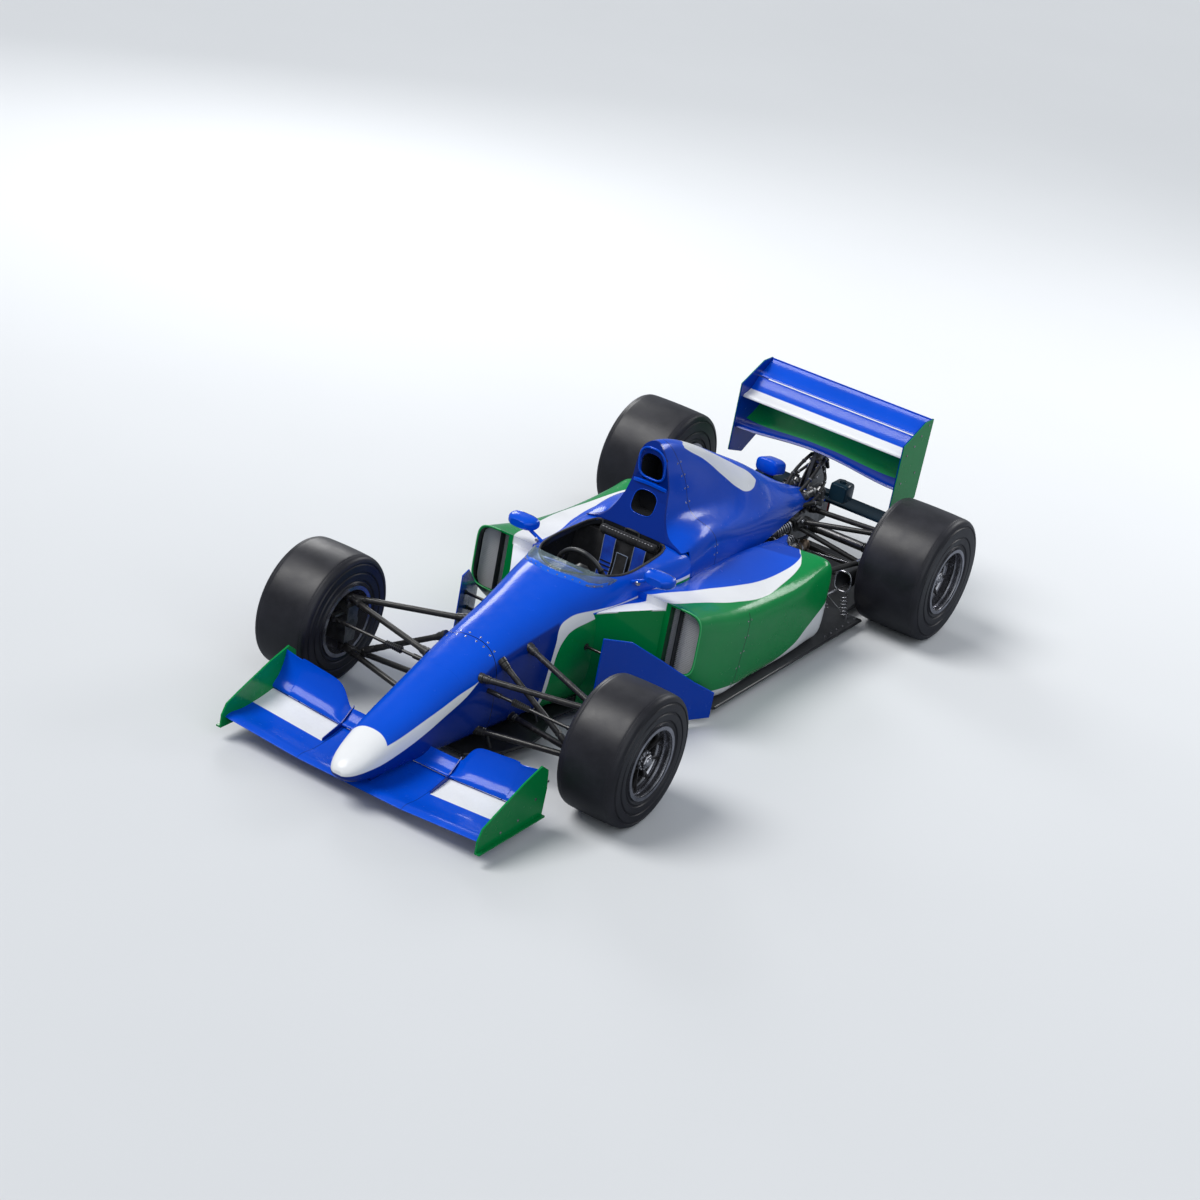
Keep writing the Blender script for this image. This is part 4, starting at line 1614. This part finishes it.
def tail_machinery():
    """Selector unit, oil catch bottles, mounting plates with bolts,
    and hoses that climb round the wing pylon."""
    metal, hoses, bright = Part(), Part(), Part()
    for sign in (-1.0, 1.0):
        metal.lathe((sign * 0.062, 1.700, 0.452), (0.0, 1.0, 0.0), [(0.0, 0.010), (0.004, 0.026),
            (0.030, 0.026), (0.034, 0.031), (0.046, 0.031), (0.050, 0.024), (0.110, 0.024), (0.114, 0.030),
            (0.126, 0.030), (0.130, 0.014), (0.165, 0.014), (0.170, 0.006)], 24)
        plate = ((1.800, 0.36), (1.985, 0.33), (2.040, 0.43), (2.010, 0.56), (1.930, 0.60), (1.860, 0.50))
        metal.prism([(sign * 0.022, y, z) for y, z in plate], (sign * 0.006, 0.0, 0.0))
        for y, z in ((1.84, 0.385), (1.96, 0.36), (2.00, 0.44), (1.98, 0.54), (1.92, 0.50), (1.90, 0.42)):
            bright.lathe((sign * 0.026, y, z), (sign, 0.0, 0.0), [(0.0, 0.0085), (0.006, 0.0085),
                (0.008, 0.0065)], 6)
        for points, radius in (([(0.030, 1.66, 0.43), (0.052, 1.78, 0.52), (0.046, 1.90, 0.585),
                (0.036, 1.97, 0.60), (0.030, 2.03, 0.53)], 0.0095), ([(0.090, 1.72, 0.40),
                (0.105, 1.82, 0.45), (0.075, 1.93, 0.50), (0.034, 1.96, 0.555)], 0.008),
                ([(0.080, 1.62, 0.42), (0.120, 1.74, 0.43), (0.115, 1.86, 0.39), (0.060, 1.94, 0.36)],
                0.011)):
            path = smooth_path([(sign * x, y, z) for x, y, z in points], 12)
            hoses.pipe(path, radius, 14)
            for row in range(4, len(path) - 4, 9):
                bright.lathe(path[row], path[row + 1] - path[row], [(-0.004, radius * 0.9),
                    (-0.004, radius * 1.25), (0.004, radius * 1.25), (0.004, radius * 0.9)], 14)
        metal.lathe((sign * 0.075, 1.900, 0.375), (0.0, 0.0, 1.0), [(0.0, 0.024), (0.004, 0.030),
            (0.075, 0.030), (0.085, 0.022), (0.095, 0.012), (0.105, 0.012)], 26)
        bright.lathe((sign * 0.075, 1.900, 0.400), (0.0, 0.0, 1.0), [(0.0, 0.0300), (0.0, 0.0325),
            (0.008, 0.0325), (0.008, 0.0300)], 26)
        for rise in (0.455, 0.500, 0.545, 0.590):
            low_x, high_x = sorted((sign * 0.008, sign * 0.030))
            metal.block((low_x, 1.845 + rise * 0.10, rise - 0.005), (high_x, 1.905 + rise * 0.12,
                rise + 0.005))
    metal.build("tail_machinery", cast_metal, "chassis", "cast_metal", 30.0)
    hoses.build("tail_hoses", grip_rubber, "chassis", "satin_black", 60.0)
    bright.build("tail_clamps", steel, "chassis", "cast_metal", 30.0)


tail_machinery()


def bay_machinery():
    """Braided lines, a fluid pump, bell cranks, heat shields and brake lines between the pods and
    the rear wheels."""
    metal, lines, cranks = Part(), Part(), Part()
    for points, radius in (([(0.13, 1.10, 0.39), (0.20, 1.17, 0.42), (0.27, 1.12, 0.38), (0.33, 1.06, 0.30)],
            0.0085), ([(0.12, 1.30, 0.38), (0.18, 1.38, 0.36), (0.25, 1.30, 0.29), (0.20, 1.20, 0.20),
            (0.13, 1.22, 0.14)], 0.0075), ([(0.12, 1.46, 0.31), (0.20, 1.50, 0.25), (0.24, 1.42, 0.17),
            (0.15, 1.36, 0.10)], 0.0085), ([(0.115, 1.62, 0.22), (0.26, 1.60, 0.235), (0.44, 1.62, 0.245),
            (0.585, 1.60, 0.27)], 0.0045), ([(0.34, 1.05, 0.16), (0.42, 1.18, 0.13), (0.50, 1.32, 0.17),
            (0.575, 1.50, 0.24)], 0.0065)):
        path = smooth_path(points, 12)
        lines.pipe(path, radius, 12)
        for row in (1, len(path) - 3):
            metal.lathe(path[row], path[row + 1] - path[row], [(-0.008, radius * 1.2), (-0.006, radius * 1.7),
                (0.010, radius * 1.7), (0.012, radius * 1.2), (0.020, radius * 1.2)], 6)
    metal.lathe((0.150, 1.255, 0.175), (0.0, 1.0, 0.0), [(0.0, 0.018), (0.004, 0.032), (0.022, 0.032),
        (0.026, 0.038), (0.034, 0.038), (0.038, 0.030), (0.090, 0.030), (0.094, 0.036), (0.104, 0.036),
        (0.108, 0.020), (0.130, 0.020), (0.134, 0.010)], 28)
    metal.lathe((0.205, 1.060, 0.385), (0.0, 0.0, 1.0), [(-0.100, 0.030), (-0.094, 0.036), (0.010, 0.036),
        (0.020, 0.026), (0.034, 0.015), (0.046, 0.015)], 28)
    for y, z in ((1.22, 0.245), (1.33, 0.245), (1.44, 0.245), (1.54, 0.245)):
        metal.lathe((0.172, y, z - 0.005), (0.0, 1.0, 0.0), [(0.0, 0.0370), (0.0, 0.0405), (0.014, 0.0405),
            (0.014, 0.0370)], 36)
        metal.block((0.166, y, z + 0.034), (0.178, y + 0.014, z + 0.050))
    for x, outline in ((0.185, ((1.455, 0.425), (1.500, 0.445), (1.560, 0.415), (1.600, 0.360),
            (1.585, 0.350), (1.530, 0.385), (1.470, 0.395))), (0.215,
            ((1.380, 0.200), (1.440, 0.235), (1.500, 0.215), (1.510, 0.195), (1.440, 0.205),
            (1.390, 0.180)))):
        cranks.prism([(x, y, z) for y, z in outline], (0.009, 0.0, 0.0))
    for x, y, z in ((0.180, 1.500, 0.418), (0.180, 1.575, 0.372), (0.210, 1.440, 0.220),
            (0.210, 1.500, 0.205)):
        metal.lathe((x, y, z), (1.0, 0.0, 0.0), [(0.0, 0.014), (0.020, 0.014), (0.024, 0.010)], 18)
    shield = smooth_path([(0.100, 1.18, 0.300), (0.150, 1.18, 0.312), (0.205, 1.18, 0.300),
        (0.235, 1.18, 0.262)], 6)
    cranks.sheet(np.stack([np.concatenate([shield + [0.0, push, 0.0],
        shield[::-1] + [0.0, push, -0.003]]) for push in (0.0, 0.10, 0.11, 0.20, 0.21, 0.30)]),
        close_columns=True, caps=True)
    for part in (metal, lines, cranks):
        part.mirror()
    metal.build("bay_machinery", steel, "chassis", "cast_metal", 30.0)
    lines.build("bay_lines", steel, "chassis", "cast_metal", 60.0)
    cranks.build("bay_cranks", cast_metal, "chassis", "cast_metal", 30.0)


bay_machinery()


def bib():
    """Dark plate under the front of the tub with a keel above it: wide at the lower wishbones,
    narrow behind."""
    plate = Part()
    half = [(0.15, -1.420), (0.255, -1.270), (0.292, -1.100), (0.286, -1.000), (0.215, -0.790),
        (0.235, -0.620)]
    outline = half + [(-x, y) for x, y in reversed(half)]
    plate.prism([(x, y, 0.052) for x, y in outline], (0.0, 0.0, 0.012))
    for start, end in zip(half[:-1], half[1:]):
        for sign in (-1.0, 1.0):
            plate.pipe([(sign * start[0], start[1], 0.058), (sign * end[0], end[1], 0.058)], 0.0085, 12)
    plate.block((-0.055, -1.380, 0.060), (0.055, -0.640, 0.150))
    for sign in (-1.0, 1.0):
        for y in (-1.28, -0.90):
            plate.pipe([(sign * 0.20, y, 0.062), (sign * 0.13, y, 0.20)], 0.007, 12)
    plate.build("bib", carbon, "chassis", "carbon", 40.0)


bib()


def mouth_screens():
    """Stone guards of flat wires in the sidepods' mouths and the rolled lip round each mouth.

    Both follow the mouth's section |u|^6 + |v|^6 = 1, with u across and v upwards.
    """
    screens, lips = Part(), Part()
    middle, half_width, centre_z, half_height, y = 0.4415, 0.193, 0.413, 0.165, -0.272
    upright_pitch, cross_pitch = 0.0050, 0.0090
    divider = (0.508, 0.521)

    def reach(share):
        return max(1.0 - abs(share) ** 6, 0.0) ** (1 / 6)

    for x in np.arange(0.4700, 0.6330, upright_pitch):
        if not divider[0] < x < divider[1]:
            tall = half_height * reach((x - middle) / half_width)
            screens.block((x, y, centre_z - tall), (x + 0.0022, y + 0.003, centre_z + tall))
    for z in np.arange(0.258, 0.570, cross_pitch):
        wide = middle + half_width * reach((z - centre_z) / half_height)
        screens.block((0.4655, y + 0.001, z), (0.5115, y + 0.004, z + 0.0030))
        screens.block((0.5175, y + 0.001, z), (wide, y + 0.004, z + 0.0030))
    angle = np.linspace(-0.62 * math.pi, 0.5 * math.pi, 60)
    u, v = squared_circle(angle, 1 / 3)
    path = np.stack([0.4406 + 0.2011 * u, np.full(60, -0.3130), 0.4362 + 0.1618 * v], 1)
    lips.pipe(path[path[:, 0] > 0.462], 0.0036, 10)
    screens.mirror()
    lips.mirror()
    screens.build("mouth_screens", plain_paint("guard_wire", (0.70, 0.70, 0.72)), "chassis", "cast_metal",
        60.0)
    lips.build("mouth_lips", plain_paint("lip_green", (0.06, 0.42, 0.14)), "chassis", "green_paint", 50.0)


mouth_screens()


# Floor, lights and camera

def stage():
    """Pale floor and sky, a key and a fill sun, and two soft area lights behind the car."""
    mesh = bpy.data.meshes.new("studio_floor")
    reach = 60.0
    corners = [(x * reach, y * reach, 0.0) for x, y in ((-1, -1), (1, -1), (1, 1), (-1, 1))]
    mesh.from_pydata(corners, [], [(0, 1, 2, 3)])
    floor = bpy.data.objects.new("studio_floor", mesh)
    bpy.context.scene.collection.objects.link(floor)
    ground = Finish("studio_ground", rough=0.9, specular=0.1)
    pale = ground.mix(ground.noise(0.8, 2.0), (0.665, 0.68, 0.70), (0.685, 0.70, 0.72))
    seen_directly = ground.add("ShaderNodeLightPath").outputs["Is Camera Ray"]
    ground.colour(ground.mix(seen_directly, (0.26, 0.28, 0.31), pale))
    mesh.materials.append(ground.material)
    world = bpy.data.worlds.new("studio_sky")
    bpy.context.scene.world = world
    world.use_nodes = True
    tree = world.node_tree
    tree.nodes.clear()
    output = tree.nodes.new("ShaderNodeOutputWorld")
    mixer = tree.nodes.new("ShaderNodeMixShader")
    ray = tree.nodes.new("ShaderNodeLightPath")
    tree.links.new(ray.outputs["Is Camera Ray"], mixer.inputs[0])
    tree.links.new(mixer.outputs[0], output.inputs[0])
    # What lights the car, then what the camera sees
    for slot, colour, strength in ((1, (0.78, 0.84, 0.92, 1.0), 0.34), (2, (0.88, 0.90, 0.92, 1.0), 1.0)):
        sky = tree.nodes.new("ShaderNodeBackground")
        sky.inputs[0].default_value = colour
        sky.inputs[1].default_value = strength
        tree.links.new(sky.outputs[0], mixer.inputs[slot])
    for name, heading, power, angle, tint in (
            ("key", (0.55, 0.45, -1.0), 2.2, 30.0, (1.0, 0.99, 0.97)),
            ("fill", (-0.9, 0.6, -0.8), 0.80, 60.0, (0.92, 0.96, 1.0))):
        data = bpy.data.lights.new(name, "SUN")
        data.energy = power
        data.angle = math.radians(angle)
        data.color = tint
        lamp = bpy.data.objects.new(name, data)
        lamp.rotation_euler = Vector(heading).to_track_quat("-Z", "Y").to_euler()
        bpy.context.scene.collection.objects.link(lamp)
    aim = Vector((0.0, -0.6, 0.6))
    for name, place, wide, high, power in (
            ("ridge", (-6.2, 5.0, 4.4), 3.0, 2.4, 210.0), ("shoulder", (2.4, 8.6, 5.0), 4.0, 1.8, 190.0)):
        data = bpy.data.lights.new(name, "AREA")
        data.shape = "RECTANGLE"
        data.size, data.size_y = wide, high
        data.energy = power
        lamp = bpy.data.objects.new(name, data)
        lamp.location = place
        lamp.rotation_euler = (aim - Vector(place)).to_track_quat("-Z", "Y").to_euler()
        bpy.context.scene.collection.objects.link(lamp)


def camera():
    """Camera at the picture's own view, as fitted to it: a lens of 2925 pixels for a picture 1200
    pixels wide."""
    lens_pixels, picture_pixels = 2925.0, 1200.0
    right, down, forward = (Vector(row) for row in (
        (0.82518, 0.53762, 0.17333), (0.36457, -0.27250, -0.89041), (-0.43147, 0.79794, -0.42086)))
    data = bpy.data.cameras.new("view")
    data.sensor_fit = "HORIZONTAL"
    data.sensor_width = 36.0
    data.lens = lens_pixels / picture_pixels * data.sensor_width
    data.clip_end = 200.0
    eye = bpy.data.objects.new("view", data)
    turn = Matrix((right, -down, -forward)).transposed().to_4x4()
    eye.matrix_world = Matrix.Translation((6.05728, -11.35597, 6.29308)) @ turn
    bpy.context.scene.collection.objects.link(eye)
    bpy.context.scene.camera = eye


stage()
camera()
bpy.context.scene.view_settings.view_transform = "Standard"
